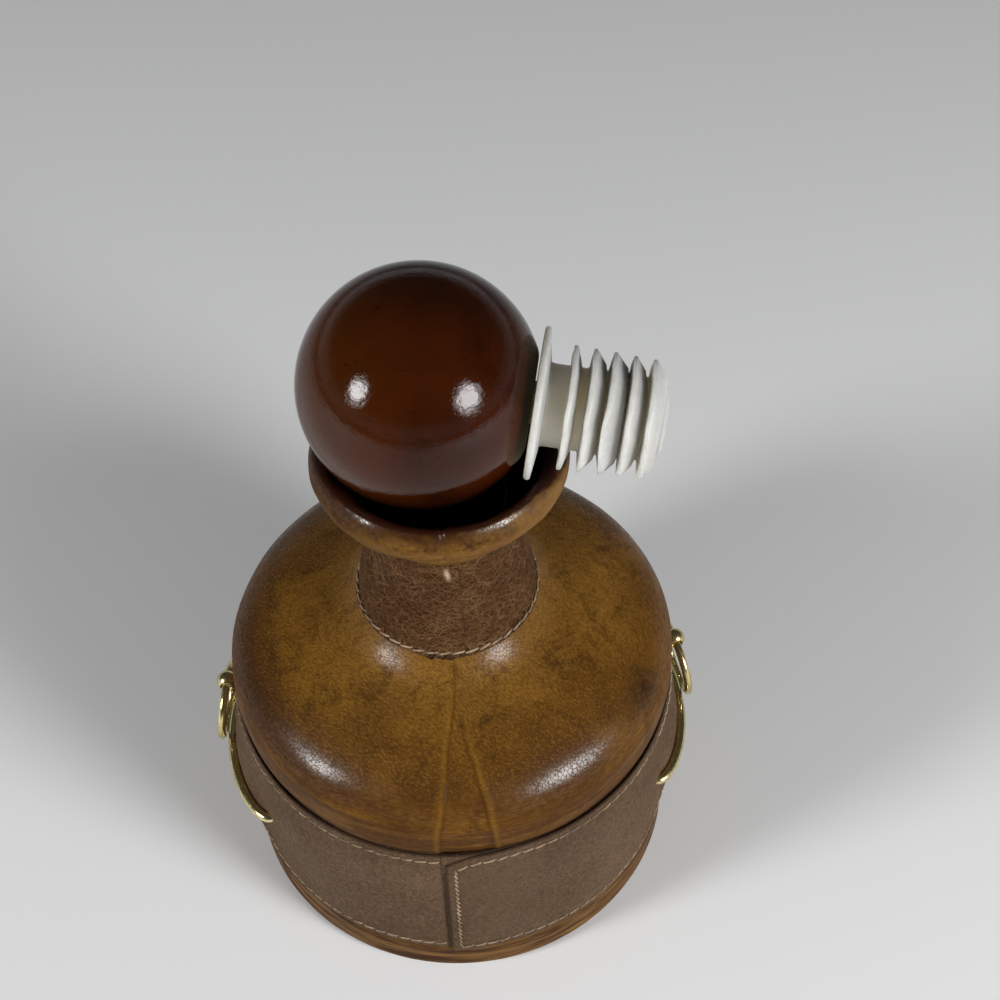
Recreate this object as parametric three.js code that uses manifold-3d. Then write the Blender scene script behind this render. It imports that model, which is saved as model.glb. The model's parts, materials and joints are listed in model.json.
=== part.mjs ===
// Leather-wrapped decanter: a glass bottle clad in sewn leather, with a brass bow and a hanging ring
// on each side, and a wooden ball stopper that lies sideways in the flared mouth.
// Millimetres, +Z up, origin at the middle of the underside.

import * as THREE from 'three';
import { mergeVertices } from 'three/addons/utils/BufferGeometryUtils.js';
import Module from 'manifold-3d';

// Driving dimensions

const GAP = 0.3; // clearance between neighbouring pieces
const TURN_SIDES = 36; // facets round the body, the neck and the mouth
const BALL_SIDES = 30;
const PLUG_SIDES = 22;
const SMALL_SIDES = 12; // facets round the brass and the holes for it
const WIRE_SIDES = 8;

const BODY_RADIUS = 58; // outside of the leather band
const PLINTH_HEIGHT = 12.2;
const PLINTH_INSET = 0.2; // plinth side behind the band's face
const PLINTH_FOOT_ROUND = 2.6;
const PLINTH_TOP_ROUND = 0.7;
const PLINTH_STAND_OFF = 0.7; // plinth's edge above the table
const PLINTH_SEAT_DEPTH = 2; // recess that takes the bottle's foot
const FELT_RADIUS = 53;
const FELT_THICKNESS = 1.5;

const BAND_HEIGHT = 50.5;
const BAND_THICKNESS = 2.2;
const LAP_TURN = -93.5; // degrees, where the band's outer end stops, at the front
const LAP_LENGTH = 18; // degrees over which the lap thins out
const LAP_RISE = 0.9;
const BULGE_RISE = 2.8; // the band stands off the bottle behind each bow
const BULGE_HALF_WIDTH = 42; // degrees

const SHOULDER_THICKNESS = 2.2;
const SHOULDER_TUCK = 1.4; // how far the dome's lower edge draws in
const SHOULDER_WIDEST = 10.2; // above the band's top
const SHOULDER_SIDE_REACH = 11.5; // tangent of the crown's curve on the side
const SHOULDER_CROWN_REACH = 17; // and on top
const SHOULDER_CROWN_SLOPE = 0.364;
const SHOULDER_HEIGHT = 38.7; // upper edge above the band's top
const SHOULDER_SPREAD = 1.8; // that edge outside the neck's radius
const FILLET_RUN = 9.2; // hollow curve from the crown up to the neck
const FILLET_RISE = 8.2;
const FILLET_FLAT = 4.6; // its tangent on the crown

const NECK_RADIUS = 19; // outside of the sleeve at its top
const SLEEVE_THICKNESS = 1.6;
const SLEEVE_LENGTH = 31.3; // above the dome's upper edge
const SLEEVE_TAPER = 23.3; // height over which the sleeve narrows
const TAPER_FOOT_REACH = 8.7; // tangents of that curve
const TAPER_TOP_REACH = 10.9;
const SKIRT_THICKNESS = 1.3; // sewn edge lying on the fillet

const GLASS_WALL = 3.5;
const GLASS_FLOOR = 5;
const GLASS_FOOT_INSET = 1;
const GLASS_FOOT_ROUND = 6;
const LIP_STEP = 4.3; // bottle's lip above the sleeve's top
const LIP_ROUND = 0.8;

const RIM_SPREAD = 11.65; // widest circle of the rim outside the neck's radius
const RIM_ROLL = 3; // radius of the roll
const ROLL_END = -40; // degrees, where the roll runs into the flare
const COLLAR_HEIGHT = 17.8; // roll's centre above the sleeve's top
const COLLAR_LEDGE = 1; // flat round the bottle's lip
const COLLAR_FOOT = 2.1; // wall where the collar meets the sleeve
const COLLAR_BOWL_DROP = 8.4; // curve of the bowl inside
const COLLAR_BOWL_REACH = 3.1;
const FLARE_REACH = 3.8; // tangents of the flare, under the rim and at the foot
const FLARE_FOOT_REACH = 8.7;

const BALL_RADIUS = 28.2;
const BALL_FLAT = 25.9; // turned flat, from the ball's centre
const SPIGOT_RADIUS = 5;
const SPIGOT_LENGTH = 12;
const FLANGE_PLAY = 0.8; // flange inside the wall round the bottle's lip
const FLANGE_THICKNESS = 2.6;
const CORE_RADIUS = 9.5;
const FIRST_RIB = 6.4; // from the flange's middle
const RIB_PITCH = 4.55;
const RIB_COUNT = 5;
const RIB_SQUEEZE = 0.7; // first rib outside the bore, which bends it
const RIB_TAPER = 0.15; // each rib is smaller than the one before
const RIB_BACK = 1.1; // barbed ribs: steep towards the ball
const RIB_FRONT = 2.1; // and sloping towards the tip
const RIB_EDGE = 0.5;
const TIP_LENGTH = 4.2; // beyond the last rib
const TIP_ROUND = 3.4;
const PLUG_TURN = -8.4; // degrees, which way the plug points
const BALL_SHIFT = 4.4; // ball's centre off the mouth's axis
const BALL_SHIFT_TURN = 143; // degrees

const BOW_ROD = 1.35; // radius
const BOW_HEIGHT = 31;
const BOW_REACH = 2.5; // rod's middle off the band
const BOW_HALF_SPAN = 34; // degrees
const POST_BALL = 2.8; // radius
const POST_HEIGHT = 48;
const POST_HOLE = 1.65;
const POST_SHANK = 1.3;
const RING_RADIUS = 10; // middle of the wire
const RING_WIRE = 1.1;
const BURR_RADIUS = 3.2;
const BURR_THICKNESS = 0.6;
const LEFT_TURN = 173.5; // degrees, where the left bow and post stand
const RIGHT_TURN = 15;

// Radius of the band's outer face at a turn from a post and at a height

function bandFace(turn, height) {
  const across = THREE.MathUtils.clamp(turn / BULGE_HALF_WIDTH, -1, 1);
  const up = (height - PLINTH_HEIGHT - GAP - BAND_HEIGHT / 2) / (BAND_HEIGHT / 2);
  return BODY_RADIUS + BULGE_RISE * Math.cos(across * Math.PI / 2) ** 2 * (1 - up ** 2);
}

const bandBack = (turn, height) => bandFace(turn, height) - BAND_THICKNESS;

// Sizes that follow

const bandFoot = PLINTH_HEIGHT + GAP;
const bandTop = bandFoot + BAND_HEIGHT;
const bandInside = BODY_RADIUS - BAND_THICKNESS;
const glassRadius = bandInside - GAP;
const shoulderHole = NECK_RADIUS + SHOULDER_SPREAD;
const sleeveInside = NECK_RADIUS - SLEEVE_THICKNESS;
const neckGlass = sleeveInside - GAP;
const bore = neckGlass - GLASS_WALL;
const domeFoot = bandTop + GAP;
const domeTop = bandTop + SHOULDER_HEIGHT;
const sleeveTop = domeTop + SLEEVE_LENGTH;
const collarFoot = sleeveTop + GAP;
const lipTop = sleeveTop + LIP_STEP;
const rollHeight = sleeveTop + COLLAR_HEIGHT;
const rollRadius = NECK_RADIUS + RIM_SPREAD - RIM_ROLL;
const flangeFoot = BALL_FLAT + GAP;
const flangeMiddle = flangeFoot + FLANGE_THICKNESS / 2;
const flangeRadius = sleeveInside + COLLAR_LEDGE - FLANGE_PLAY;
const ribRadius = bore + RIB_SQUEEZE;
const tip = flangeMiddle + FIRST_RIB + RIB_PITCH * (RIB_COUNT - 1) + TIP_LENGTH;
const postReach = bandFace(0, POST_HEIGHT) + GAP + POST_BALL;

const wasm = await Module();
wasm.setup();

// Solids

const point = (x, y) => new THREE.Vector2(x, y);
const radians = THREE.MathUtils.degToRad;

// Joins shared vertices, drops the slivers on a turning axis and points every face outward.
function closed(geometry) {
  const bare = geometry.index ? geometry.toNonIndexed() : geometry.clone();
  bare.deleteAttribute('normal');
  bare.deleteAttribute('uv');
  const merged = mergeVertices(bare, 1e-4);
  const position = merged.attributes.position;
  const corner = [new THREE.Vector3(), new THREE.Vector3(), new THREE.Vector3()];
  const faces = [];
  let volume = 0;
  for (let i = 0; i < merged.index.count; i += 3) {
    const face = [0, 1, 2].map((k) => merged.index.getX(i + k));
    if (new Set(face).size < 3) continue;
    faces.push(face);
    face.forEach((vertex, k) => corner[k].fromBufferAttribute(position, vertex));
    volume += corner[0].dot(corner[1].clone().cross(corner[2]));
  }
  const outward = volume > 0 ? faces : faces.map(([a, b, c]) => [a, c, b]);
  merged.setIndex(outward.flat());
  merged.computeVertexNormals();
  return merged;
}

function toManifold(geometry) {
  const solid = closed(geometry);
  const vertProperties = new Float32Array(solid.attributes.position.array);
  const triVerts = new Uint32Array(solid.index.array);
  return new wasm.Manifold(new wasm.Mesh({ numProp: 3, vertProperties, triVerts }));
}

function fromManifold(manifold) {
  const mesh = manifold.getMesh();
  const geometry = new THREE.BufferGeometry();
  geometry.setAttribute('position', new THREE.Float32BufferAttribute(mesh.vertProperties, 3));
  geometry.setIndex(Array.from(mesh.triVerts));
  geometry.computeVertexNormals();
  return geometry;
}

function cut(geometry, cutters) {
  const start = toManifold(geometry);
  return fromManifold(cutters.reduce((solid, cutter) => solid.subtract(toManifold(cutter)), start));
}

// Turns a profile of (radius, height) points about +Z.
function turned(profile, sides = TURN_SIDES) {
  return closed(new THREE.LatheGeometry(profile, sides).rotateX(Math.PI / 2));
}

// Turns a profile of (radius, reach) points about +X.
function turnedAlongX(profile, sides) {
  return closed(new THREE.LatheGeometry(profile, sides).rotateZ(-Math.PI / 2));
}

const drill = (radius, length) => new THREE.CylinderGeometry(radius, radius, length, SMALL_SIDES);

// Moves each point of a profile off to its left by a distance.
function offset(profile, distance) {
  return profile.map((at, i) => {
    const before = profile[Math.max(i - 1, 0)];
    const after = profile[Math.min(i + 1, profile.length - 1)];
    const along = after.clone().sub(before).normalize();
    return point(at.x - along.y * distance, at.y + along.x * distance);
  });
}

function arc(x, y, radius, from, to, steps) {
  const curve = new THREE.EllipseCurve(x, y, radius, radius, radians(from), radians(to), to < from);
  return curve.getPoints(steps);
}

const bezier = (a, b, c, d, steps) => new THREE.CubicBezierCurve(a, b, c, d).getPoints(steps);

function material(color, roughness, metalness = 0, extra = {}) {
  return new THREE.MeshStandardMaterial({ color, roughness, metalness, ...extra });
}

function piece(name, geometry, finish) {
  const mesh = new THREE.Mesh(geometry, finish);
  mesh.name = name;
  return mesh;
}

const finishes = {
  glass: () => material(0x9db3a6, 0.08, 0, { transparent: true, opacity: 0.35 }),
  tanLeather: () => material(0x77512a, 0.5),
  brownLeather: () => material(0x6b5a4c, 0.6),
  darkLeather: () => material(0x3d2618, 0.55),
  rimLeather: () => material(0x5e3a1d, 0.5),
  plinthWood: () => material(0x7a5a3a, 0.55),
  felt: () => material(0x2e3a2c, 0.95),
  brass: () => material(0xb79b55, 0.22, 1),
  darkWood: () => material(0x35190d, 0.25),
  whitePlastic: () => material(0xd9d6cf, 0.4),
};

// Base

function felt() {
  return turned([
    point(0, 0),
    point(FELT_RADIUS, 0),
    point(FELT_RADIUS, FELT_THICKNESS),
    point(0, FELT_THICKNESS),
  ]);
}

function plinth() {
  const side = BODY_RADIUS - PLINTH_INSET;
  const foot = PLINTH_STAND_OFF;
  const feltRoof = FELT_THICKNESS + GAP;
  const feltWall = FELT_RADIUS + GAP;
  const seat = PLINTH_HEIGHT - PLINTH_SEAT_DEPTH;
  const seatWall = glassRadius - GLASS_FOOT_INSET + GAP;
  return turned([
    point(0, feltRoof),
    point(feltWall, feltRoof),
    point(feltWall, foot),
    ...arc(side - PLINTH_FOOT_ROUND, foot + PLINTH_FOOT_ROUND, PLINTH_FOOT_ROUND, -90, 0, 3),
    ...arc(side - PLINTH_TOP_ROUND, PLINTH_HEIGHT - PLINTH_TOP_ROUND, PLINTH_TOP_ROUND, 0, 90, 2),
    point(seatWall, PLINTH_HEIGHT),
    point(seatWall, seat),
    point(0, seat),
  ]);
}

// Leather of the shoulder: a tucked lower edge, a full side, a flat crown and a hollow up to the neck

function filletCurve() {
  const edge = point(shoulderHole, domeTop);
  const crown = point(shoulderHole + FILLET_RUN, domeTop - FILLET_RISE);
  const turn = point(crown.x - FILLET_FLAT, crown.y + FILLET_FLAT * SHOULDER_CROWN_SLOPE);
  return new THREE.QuadraticBezierCurve(crown, turn, edge).getPoints(4);
}

const fillet = filletCurve();

function domeSkin() {
  const widest = point(BODY_RADIUS, bandTop + SHOULDER_WIDEST);
  const edge = point(BODY_RADIUS - SHOULDER_TUCK, domeFoot);
  const tuck = point(BODY_RADIUS, domeFoot + GAP);
  const side = new THREE.QuadraticBezierCurve(edge, tuck, widest).getPoints(3);
  const crown = bezier(
    widest,
    point(BODY_RADIUS, widest.y + SHOULDER_SIDE_REACH),
    point(fillet[0].x + SHOULDER_CROWN_REACH, fillet[0].y - SHOULDER_CROWN_REACH * SHOULDER_CROWN_SLOPE),
    fillet[0],
    6,
  );
  return { side, top: [...crown, ...fillet.slice(1)] };
}

const dome = domeSkin();

function shoulderCover() {
  const inside = BODY_RADIUS - SHOULDER_THICKNESS;
  const inner = offset(dome.top, SHOULDER_THICKNESS);
  return turned([
    ...dome.side,
    ...dome.top.slice(1),
    ...inner.reverse(),
    point(inside, domeFoot),
    dome.side[0],
  ]);
}

// Neck: leather that narrows upward, its sewn foot lying on the fillet

function neckSleeve() {
  const under = offset(fillet, -GAP).slice(-2);
  const over = offset(fillet, -GAP - SKIRT_THICKNESS).slice(-2);
  const [edge, foot] = over;
  const taper = bezier(
    foot,
    point(foot.x, foot.y + TAPER_FOOT_REACH),
    point(NECK_RADIUS, foot.y + SLEEVE_TAPER - TAPER_TOP_REACH),
    point(NECK_RADIUS, foot.y + SLEEVE_TAPER),
    5,
  );
  return turned([
    ...under,
    point(sleeveInside, under[1].y + SLEEVE_THICKNESS),
    point(sleeveInside, sleeveTop),
    point(NECK_RADIUS, sleeveTop),
    ...taper.reverse(),
    edge,
    under[0],
  ]);
}

// Mouth: bowl inside, rolled rim, flared underside

function collarProfile() {
  const wall = sleeveInside;
  const ledge = point(wall + COLLAR_LEDGE, lipTop);
  const bowlTop = point(rollRadius - RIM_ROLL, rollHeight);
  const bowlTurn = point(ledge.x + COLLAR_BOWL_REACH, bowlTop.y - COLLAR_BOWL_DROP);
  const bowl = new THREE.QuadraticBezierCurve(ledge, bowlTurn, bowlTop).getPoints(5);
  const roll = arc(rollRadius, rollHeight, RIM_ROLL, 180, ROLL_END, 9);
  const underRim = roll[roll.length - 1];
  const underTurn = point(Math.sin(radians(ROLL_END)), -Math.cos(radians(ROLL_END)));
  const foot = point(wall + COLLAR_FOOT, collarFoot);
  const flare = bezier(
    underRim,
    underRim.clone().addScaledVector(underTurn, FLARE_REACH),
    point(foot.x, foot.y + FLARE_FOOT_REACH),
    foot,
    5,
  );
  return [
    point(wall, collarFoot),
    point(wall, lipTop),
    ...bowl,
    ...roll.slice(1),
    ...flare.slice(1),
    point(wall, collarFoot),
  ];
}

const collar = collarProfile();

// Bottle

function glassBottle() {
  const foot = PLINTH_HEIGHT - PLINTH_SEAT_DEPTH + GAP;
  const footRadius = glassRadius - GLASS_FOOT_INSET;
  const inside = glassRadius - GLASS_WALL;
  const floor = foot + GLASS_FLOOR;
  const skin = offset(dome.top, SHOULDER_THICKNESS + GAP);
  const hollow = offset(dome.top, SHOULDER_THICKNESS + GAP + GLASS_WALL);
  const neckFoot = domeTop + SLEEVE_THICKNESS;
  return turned([
    point(0, foot),
    point(footRadius - GLASS_FOOT_ROUND / 2, foot),
    point(footRadius, foot + GLASS_FOOT_ROUND / 4),
    point(footRadius, bandFoot),
    point(glassRadius, bandFoot + GLASS_FOOT_ROUND / 2),
    ...skin,
    point(neckGlass, neckFoot),
    point(neckGlass, lipTop - LIP_ROUND),
    point(neckGlass - LIP_ROUND, lipTop),
    point(bore + LIP_ROUND, lipTop),
    point(bore, lipTop - LIP_ROUND),
    point(bore, neckFoot),
    ...hollow.reverse(),
    point(inside, floor + GLASS_FOOT_ROUND),
    point(inside - GLASS_FOOT_ROUND / 3, floor + GLASS_FOOT_ROUND / 3),
    point(inside - GLASS_FOOT_ROUND, floor),
    point(0, floor),
  ]);
}

// Brass on one side: a half ellipse of rod in the wrapped plane, a drilled ball and a ring

class BowLine extends THREE.Curve {
  getPoint(t, target = new THREE.Vector3()) {
    const turn = Math.PI * t;
    const around = radians(BOW_HALF_SPAN) * Math.cos(turn);
    const end = bandBack(BOW_HALF_SPAN, BOW_HEIGHT) + GAP;
    const middle = bandFace(0, BOW_HEIGHT) + BOW_REACH;
    const reach = end + (middle - end) * Math.sin(turn);
    return target.set(reach * Math.cos(around), reach * Math.sin(around), BOW_HEIGHT);
  }
}

const bowLine = new BowLine();

function rod(radius) {
  const section = new THREE.Shape(arc(0, 0, radius, 0, 360, WIRE_SIDES).slice(1));
  return closed(new THREE.ExtrudeGeometry(section, { steps: 26, bevelEnabled: false, extrudePath: bowLine }));
}

function drilledPost() {
  const shankEnd = bandBack(0, POST_HEIGHT) + GAP;
  const ballSeat = postReach - Math.sqrt(POST_BALL ** 2 - POST_SHANK ** 2);
  const seatTurn = THREE.MathUtils.radToDeg(Math.asin(POST_SHANK / POST_BALL));
  const ball = arc(0, postReach, POST_BALL, -90 + seatTurn, 90, 8).slice(1, -1);
  const post = turnedAlongX([
    point(0, shankEnd),
    point(POST_SHANK, shankEnd),
    point(POST_SHANK, ballSeat),
    ...ball,
    point(0, postReach + POST_BALL),
  ], SMALL_SIDES);
  return cut(post, [drill(POST_HOLE, POST_BALL * 3).translate(postReach, 0, 0)]);
}

function burr({ turn, height, hole }) {
  const inner = bandBack(turn, height) + GAP / 2;
  const outer = inner + BURR_THICKNESS;
  return turnedAlongX([
    point(hole, inner),
    point(BURR_RADIUS, inner),
    point(BURR_RADIUS, outer),
    point(hole, outer),
    point(hole, inner),
  ], SMALL_SIDES);
}

// The wire's bend inside the drilled hole is shared out above and below the hinge line.
const ringDrop = RING_RADIUS - POST_BALL ** 2 / (4 * RING_RADIUS);

function ringPoint(turn, lean) {
  const across = RING_RADIUS * Math.sin(turn);
  const down = ringDrop - RING_RADIUS * Math.cos(turn);
  return new THREE.Vector3(postReach + down * Math.sin(lean), across, POST_HEIGHT - down * Math.cos(lean));
}

// The ring hangs outward until its wire lies on the bow.
function ringLean() {
  const bowPoints = bowLine.getPoints(80);
  const clear = (lean) => {
    let least = Infinity;
    for (let turn = 0; turn < 2 * Math.PI; turn += 0.05) {
      const wire = ringPoint(turn, lean);
      bowPoints.forEach((at) => { least = Math.min(least, wire.distanceTo(at)); });
    }
    return least - RING_WIRE - BOW_ROD;
  };
  const step = radians(0.1);
  let lean = radians(60);
  while (lean > step && clear(lean - step) >= GAP) lean -= step;
  return lean;
}

const lean = ringLean();

function ring() {
  const wire = new THREE.TorusGeometry(RING_RADIUS, RING_WIRE, WIRE_SIDES, BALL_SIDES);
  return closed(wire.rotateY(Math.PI / 2).translate(0, 0, -ringDrop));
}

// The rod leaves the band at a slant, so the burrs on its ends are a little wider inside.
const burrSeats = {
  front: { turn: -BOW_HALF_SPAN, height: BOW_HEIGHT, hole: BOW_ROD + 2 * GAP },
  back: { turn: BOW_HALF_SPAN, height: BOW_HEIGHT, hole: BOW_ROD + 2 * GAP },
  post: { turn: 0, height: POST_HEIGHT, hole: POST_SHANK + GAP },
};

function sideHardware(side, turn) {
  const group = new THREE.Group();
  group.rotation.z = radians(turn);
  group.add(piece(`${side}_bow`, rod(BOW_ROD), finishes.brass()));
  const post = piece(`${side}_post`, drilledPost(), finishes.brass());
  post.position.z = POST_HEIGHT;
  group.add(post);
  const hinge = new THREE.Group();
  hinge.position.set(postReach, 0, POST_HEIGHT);
  hinge.rotation.y = -lean;
  hinge.add(piece(`${side}_ring`, ring(), finishes.brass()));
  group.add(hinge);
  Object.entries(burrSeats).forEach(([place, seat]) => {
    const mesh = piece(`${side}_burr_${place}`, burr(seat), finishes.brass());
    mesh.position.z = seat.height;
    mesh.rotation.z = radians(seat.turn);
    group.add(mesh);
  });
  return group;
}

// Band: a strip wrapped round the bottle, its outer end lapped over the inner one

function bandOutline() {
  const outline = [];
  const step = 360 / TURN_SIDES;
  const around = (turn, radius) => point(radius * Math.cos(radians(turn)), radius * Math.sin(radians(turn)));
  outline.push(around(LAP_TURN, BODY_RADIUS), around(LAP_TURN, BODY_RADIUS + LAP_RISE));
  const first = step * (Math.floor(LAP_TURN / step) + 1);
  for (let turn = first; turn < LAP_TURN + 360 - step / 2; turn += step) {
    const thin = Math.max(0, 1 - (turn - LAP_TURN) / LAP_LENGTH);
    outline.push(around(turn, BODY_RADIUS + LAP_RISE * thin));
  }
  return outline;
}

// Moves the strip's vertices out behind the hardware.
function bulgeOut(geometry, sides) {
  const position = geometry.attributes.position;
  for (let i = 0; i < position.count; i += 1) {
    const [x, y, z] = [position.getX(i), position.getY(i), position.getZ(i)];
    const turn = THREE.MathUtils.radToDeg(Math.atan2(y, x));
    const apart = (side) => THREE.MathUtils.euclideanModulo(turn - side + 180, 360) - 180;
    const out = sides.map((side) => bandFace(apart(side), z));
    const grow = 1 + (Math.max(...out) - BODY_RADIUS) / Math.hypot(x, y);
    position.setXY(i, x * grow, y * grow);
  }
}

function bodyBand(sides) {
  const strip = new THREE.Shape(bandOutline());
  strip.holes.push(new THREE.Path(arc(0, 0, bandInside, -90, 270, TURN_SIDES).slice(1)));
  const band = new THREE.ExtrudeGeometry(strip, { depth: BAND_HEIGHT, steps: 5, bevelEnabled: false });
  bulgeOut(band.translate(0, 0, bandFoot), sides);
  const cutters = [];
  sides.forEach((turn) => {
    cutters.push(rod(BOW_ROD + GAP).rotateZ(radians(turn)));
    const hole = drill(POST_SHANK + GAP, BAND_THICKNESS * 2);
    hole.rotateZ(Math.PI / 2).translate(bandBack(0, POST_HEIGHT) + BAND_THICKNESS / 2, 0, POST_HEIGHT);
    cutters.push(hole.rotateZ(radians(turn)));
    Object.values(burrSeats).forEach((seat) => {
      const pocket = drill(BURR_RADIUS + GAP, BAND_THICKNESS);
      const floor = bandBack(seat.turn, seat.height) + GAP / 2 + BURR_THICKNESS + GAP;
      pocket.rotateZ(Math.PI / 2).translate(floor - BAND_THICKNESS / 2, 0, seat.height);
      cutters.push(pocket.rotateZ(radians(turn + seat.turn)));
    });
  });
  return cut(band, cutters);
}

// Stopper, turned about its own +Y with the plug pointing along it

function stopperBall() {
  const flatTurn = THREE.MathUtils.radToDeg(Math.asin(BALL_FLAT / BALL_RADIUS));
  const skin = arc(0, 0, BALL_RADIUS, -90, flatTurn, 14).slice(1);
  const socket = SPIGOT_RADIUS + GAP;
  const socketEnd = flangeFoot - SPIGOT_LENGTH - GAP;
  const profile = [
    point(0, -BALL_RADIUS),
    ...skin,
    point(socket, BALL_FLAT),
    point(socket, socketEnd),
    point(0, socketEnd),
  ];
  return closed(new THREE.LatheGeometry(profile, BALL_SIDES));
}

function plugProfile() {
  const soft = FLANGE_THICKNESS / 2;
  const profile = [
    point(0, flangeFoot - SPIGOT_LENGTH),
    point(SPIGOT_RADIUS, flangeFoot - SPIGOT_LENGTH),
    point(SPIGOT_RADIUS, flangeFoot),
    ...arc(flangeRadius - soft, flangeMiddle, soft, -90, 90, 4),
    point(CORE_RADIUS, flangeMiddle + soft),
  ];
  for (let i = 0; i < RIB_COUNT; i += 1) {
    const middle = flangeMiddle + FIRST_RIB + RIB_PITCH * i;
    const edge = ribRadius - RIB_TAPER * i;
    profile.push(
      point(CORE_RADIUS, middle - RIB_BACK),
      point(edge, middle - RIB_EDGE / 2),
      point(edge, middle + RIB_EDGE / 2),
      point(CORE_RADIUS, middle + RIB_FRONT),
    );
  }
  profile.push(...arc(CORE_RADIUS - TIP_ROUND, tip - TIP_ROUND, TIP_ROUND, 0, 90, 3), point(0, tip));
  return profile;
}

const plug = plugProfile();

// The ball rests on the roll on one side of the mouth.
function ballCentre() {
  const turn = radians(BALL_SHIFT_TURN);
  const reach = BALL_RADIUS + RIM_ROLL + GAP;
  const across = rollRadius - BALL_SHIFT;
  const height = rollHeight + Math.sqrt(reach ** 2 - across ** 2);
  return new THREE.Vector3(BALL_SHIFT * Math.cos(turn), BALL_SHIFT * Math.sin(turn), height);
}

function distanceToCollar(radius, height) {
  const at = point(radius, height);
  let least = Infinity;
  for (let i = 1; i < collar.length; i += 1) {
    const along = collar[i].clone().sub(collar[i - 1]);
    const share = at.clone().sub(collar[i - 1]).dot(along) / along.lengthSq();
    const nearest = collar[i - 1].clone().addScaledVector(along, THREE.MathUtils.clamp(share, 0, 1));
    least = Math.min(least, nearest.distanceTo(at));
  }
  return least;
}

function plugTurn(tilt) {
  const level = new THREE.Vector3(Math.cos(radians(PLUG_TURN)), Math.sin(radians(PLUG_TURN)), 0);
  const way = level.multiplyScalar(Math.cos(tilt)).setZ(-Math.sin(tilt));
  return new THREE.Quaternion().setFromUnitVectors(new THREE.Vector3(0, 1, 0), way);
}

// The plug drops on the other side until a rib or its core lies on the rim.
function stopperTilt(centre) {
  const clear = (tilt) => {
    const turn = plugTurn(tilt);
    let least = Infinity;
    plug.filter((at) => at.y > BALL_FLAT).forEach((at) => {
      for (let side = 0; side < 2 * Math.PI; side += 0.1) {
        const spot = new THREE.Vector3(at.x * Math.sin(side), at.y, at.x * Math.cos(side));
        spot.applyQuaternion(turn).add(centre);
        least = Math.min(least, distanceToCollar(Math.hypot(spot.x, spot.y), spot.z));
      }
    });
    return least;
  };
  const step = radians(0.25);
  let tilt = radians(-15);
  while (tilt < radians(45) && clear(tilt + step) >= GAP) tilt += step;
  return tilt;
}

function stopper() {
  const group = new THREE.Group();
  const centre = ballCentre();
  group.position.copy(centre);
  group.quaternion.copy(plugTurn(stopperTilt(centre)));
  group.add(piece('stopper_ball', stopperBall(), finishes.darkWood()));
  const plugSolid = closed(new THREE.LatheGeometry(plug, PLUG_SIDES));
  group.add(piece('stopper_plug', plugSolid, finishes.whitePlastic()));
  return group;
}

const decanter = new THREE.Group();
decanter.name = 'leather_wrapped_decanter';
decanter.add(
  piece('felt_pad', felt(), finishes.felt()),
  piece('base_plinth', plinth(), finishes.plinthWood()),
  piece('glass_bottle', glassBottle(), finishes.glass()),
  piece('body_band', bodyBand([LEFT_TURN, RIGHT_TURN]), finishes.brownLeather()),
  piece('shoulder_cover', shoulderCover(), finishes.tanLeather()),
  piece('neck_sleeve', neckSleeve(), finishes.darkLeather()),
  piece('mouth_collar', turned(collar), finishes.rimLeather()),
  sideHardware('left', LEFT_TURN),
  sideHardware('right', RIGHT_TURN),
  stopper(),
);

export default decanter;
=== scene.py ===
# %% [markdown]
# # A leather-wrapped decanter
# The real object is a glass bottle in a coat of sewn leather: a smooth tan dome over the shoulder, a
# taupe band round the body, a crackled dark sleeve on the neck and a rolled rim. Brass bows and rings
# sit on its sides, and a lacquered wooden ball with a ribbed plug lies in the mouth. This lesson builds
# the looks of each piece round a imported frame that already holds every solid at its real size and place.

# %% Load the frame
import json
import math

import bmesh
import bpy
import numpy as np
from mathutils import Matrix, Vector


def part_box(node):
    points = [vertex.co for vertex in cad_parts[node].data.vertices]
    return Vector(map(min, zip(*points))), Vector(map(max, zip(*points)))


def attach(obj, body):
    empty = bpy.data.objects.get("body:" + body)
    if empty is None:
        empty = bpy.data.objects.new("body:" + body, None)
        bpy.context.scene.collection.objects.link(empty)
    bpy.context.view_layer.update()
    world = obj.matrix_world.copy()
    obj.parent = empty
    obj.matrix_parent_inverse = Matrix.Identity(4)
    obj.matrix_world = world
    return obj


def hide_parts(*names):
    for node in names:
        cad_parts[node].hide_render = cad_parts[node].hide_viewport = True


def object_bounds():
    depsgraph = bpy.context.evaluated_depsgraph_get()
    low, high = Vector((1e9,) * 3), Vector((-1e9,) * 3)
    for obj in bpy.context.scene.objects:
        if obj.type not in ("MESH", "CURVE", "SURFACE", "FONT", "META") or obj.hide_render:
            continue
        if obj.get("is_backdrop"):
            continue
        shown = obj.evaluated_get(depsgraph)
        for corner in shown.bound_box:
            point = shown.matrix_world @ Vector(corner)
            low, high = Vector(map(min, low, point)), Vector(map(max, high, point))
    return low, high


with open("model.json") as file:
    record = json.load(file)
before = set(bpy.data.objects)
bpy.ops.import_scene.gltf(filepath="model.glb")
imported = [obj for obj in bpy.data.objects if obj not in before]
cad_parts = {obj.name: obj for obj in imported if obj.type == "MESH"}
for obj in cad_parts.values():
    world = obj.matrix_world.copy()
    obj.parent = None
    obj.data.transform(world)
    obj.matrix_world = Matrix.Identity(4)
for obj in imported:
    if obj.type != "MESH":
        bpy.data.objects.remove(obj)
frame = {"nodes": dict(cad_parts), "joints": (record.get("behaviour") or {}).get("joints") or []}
cad_low, cad_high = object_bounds()
MM = 0.001

# %% [markdown]
# ## Sizes
# The outlines below are written in millimetres, as a maker would. Their heights and the body's radius
# start from the boxes of the solids in the frame, so if a solid moves or grows, the dressed piece goes
# with it.


# %% Read the driving sizes off the frame
def box_mm(node):
    low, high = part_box(node)
    return np.array(low) / MM, np.array(high) / MM


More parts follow.
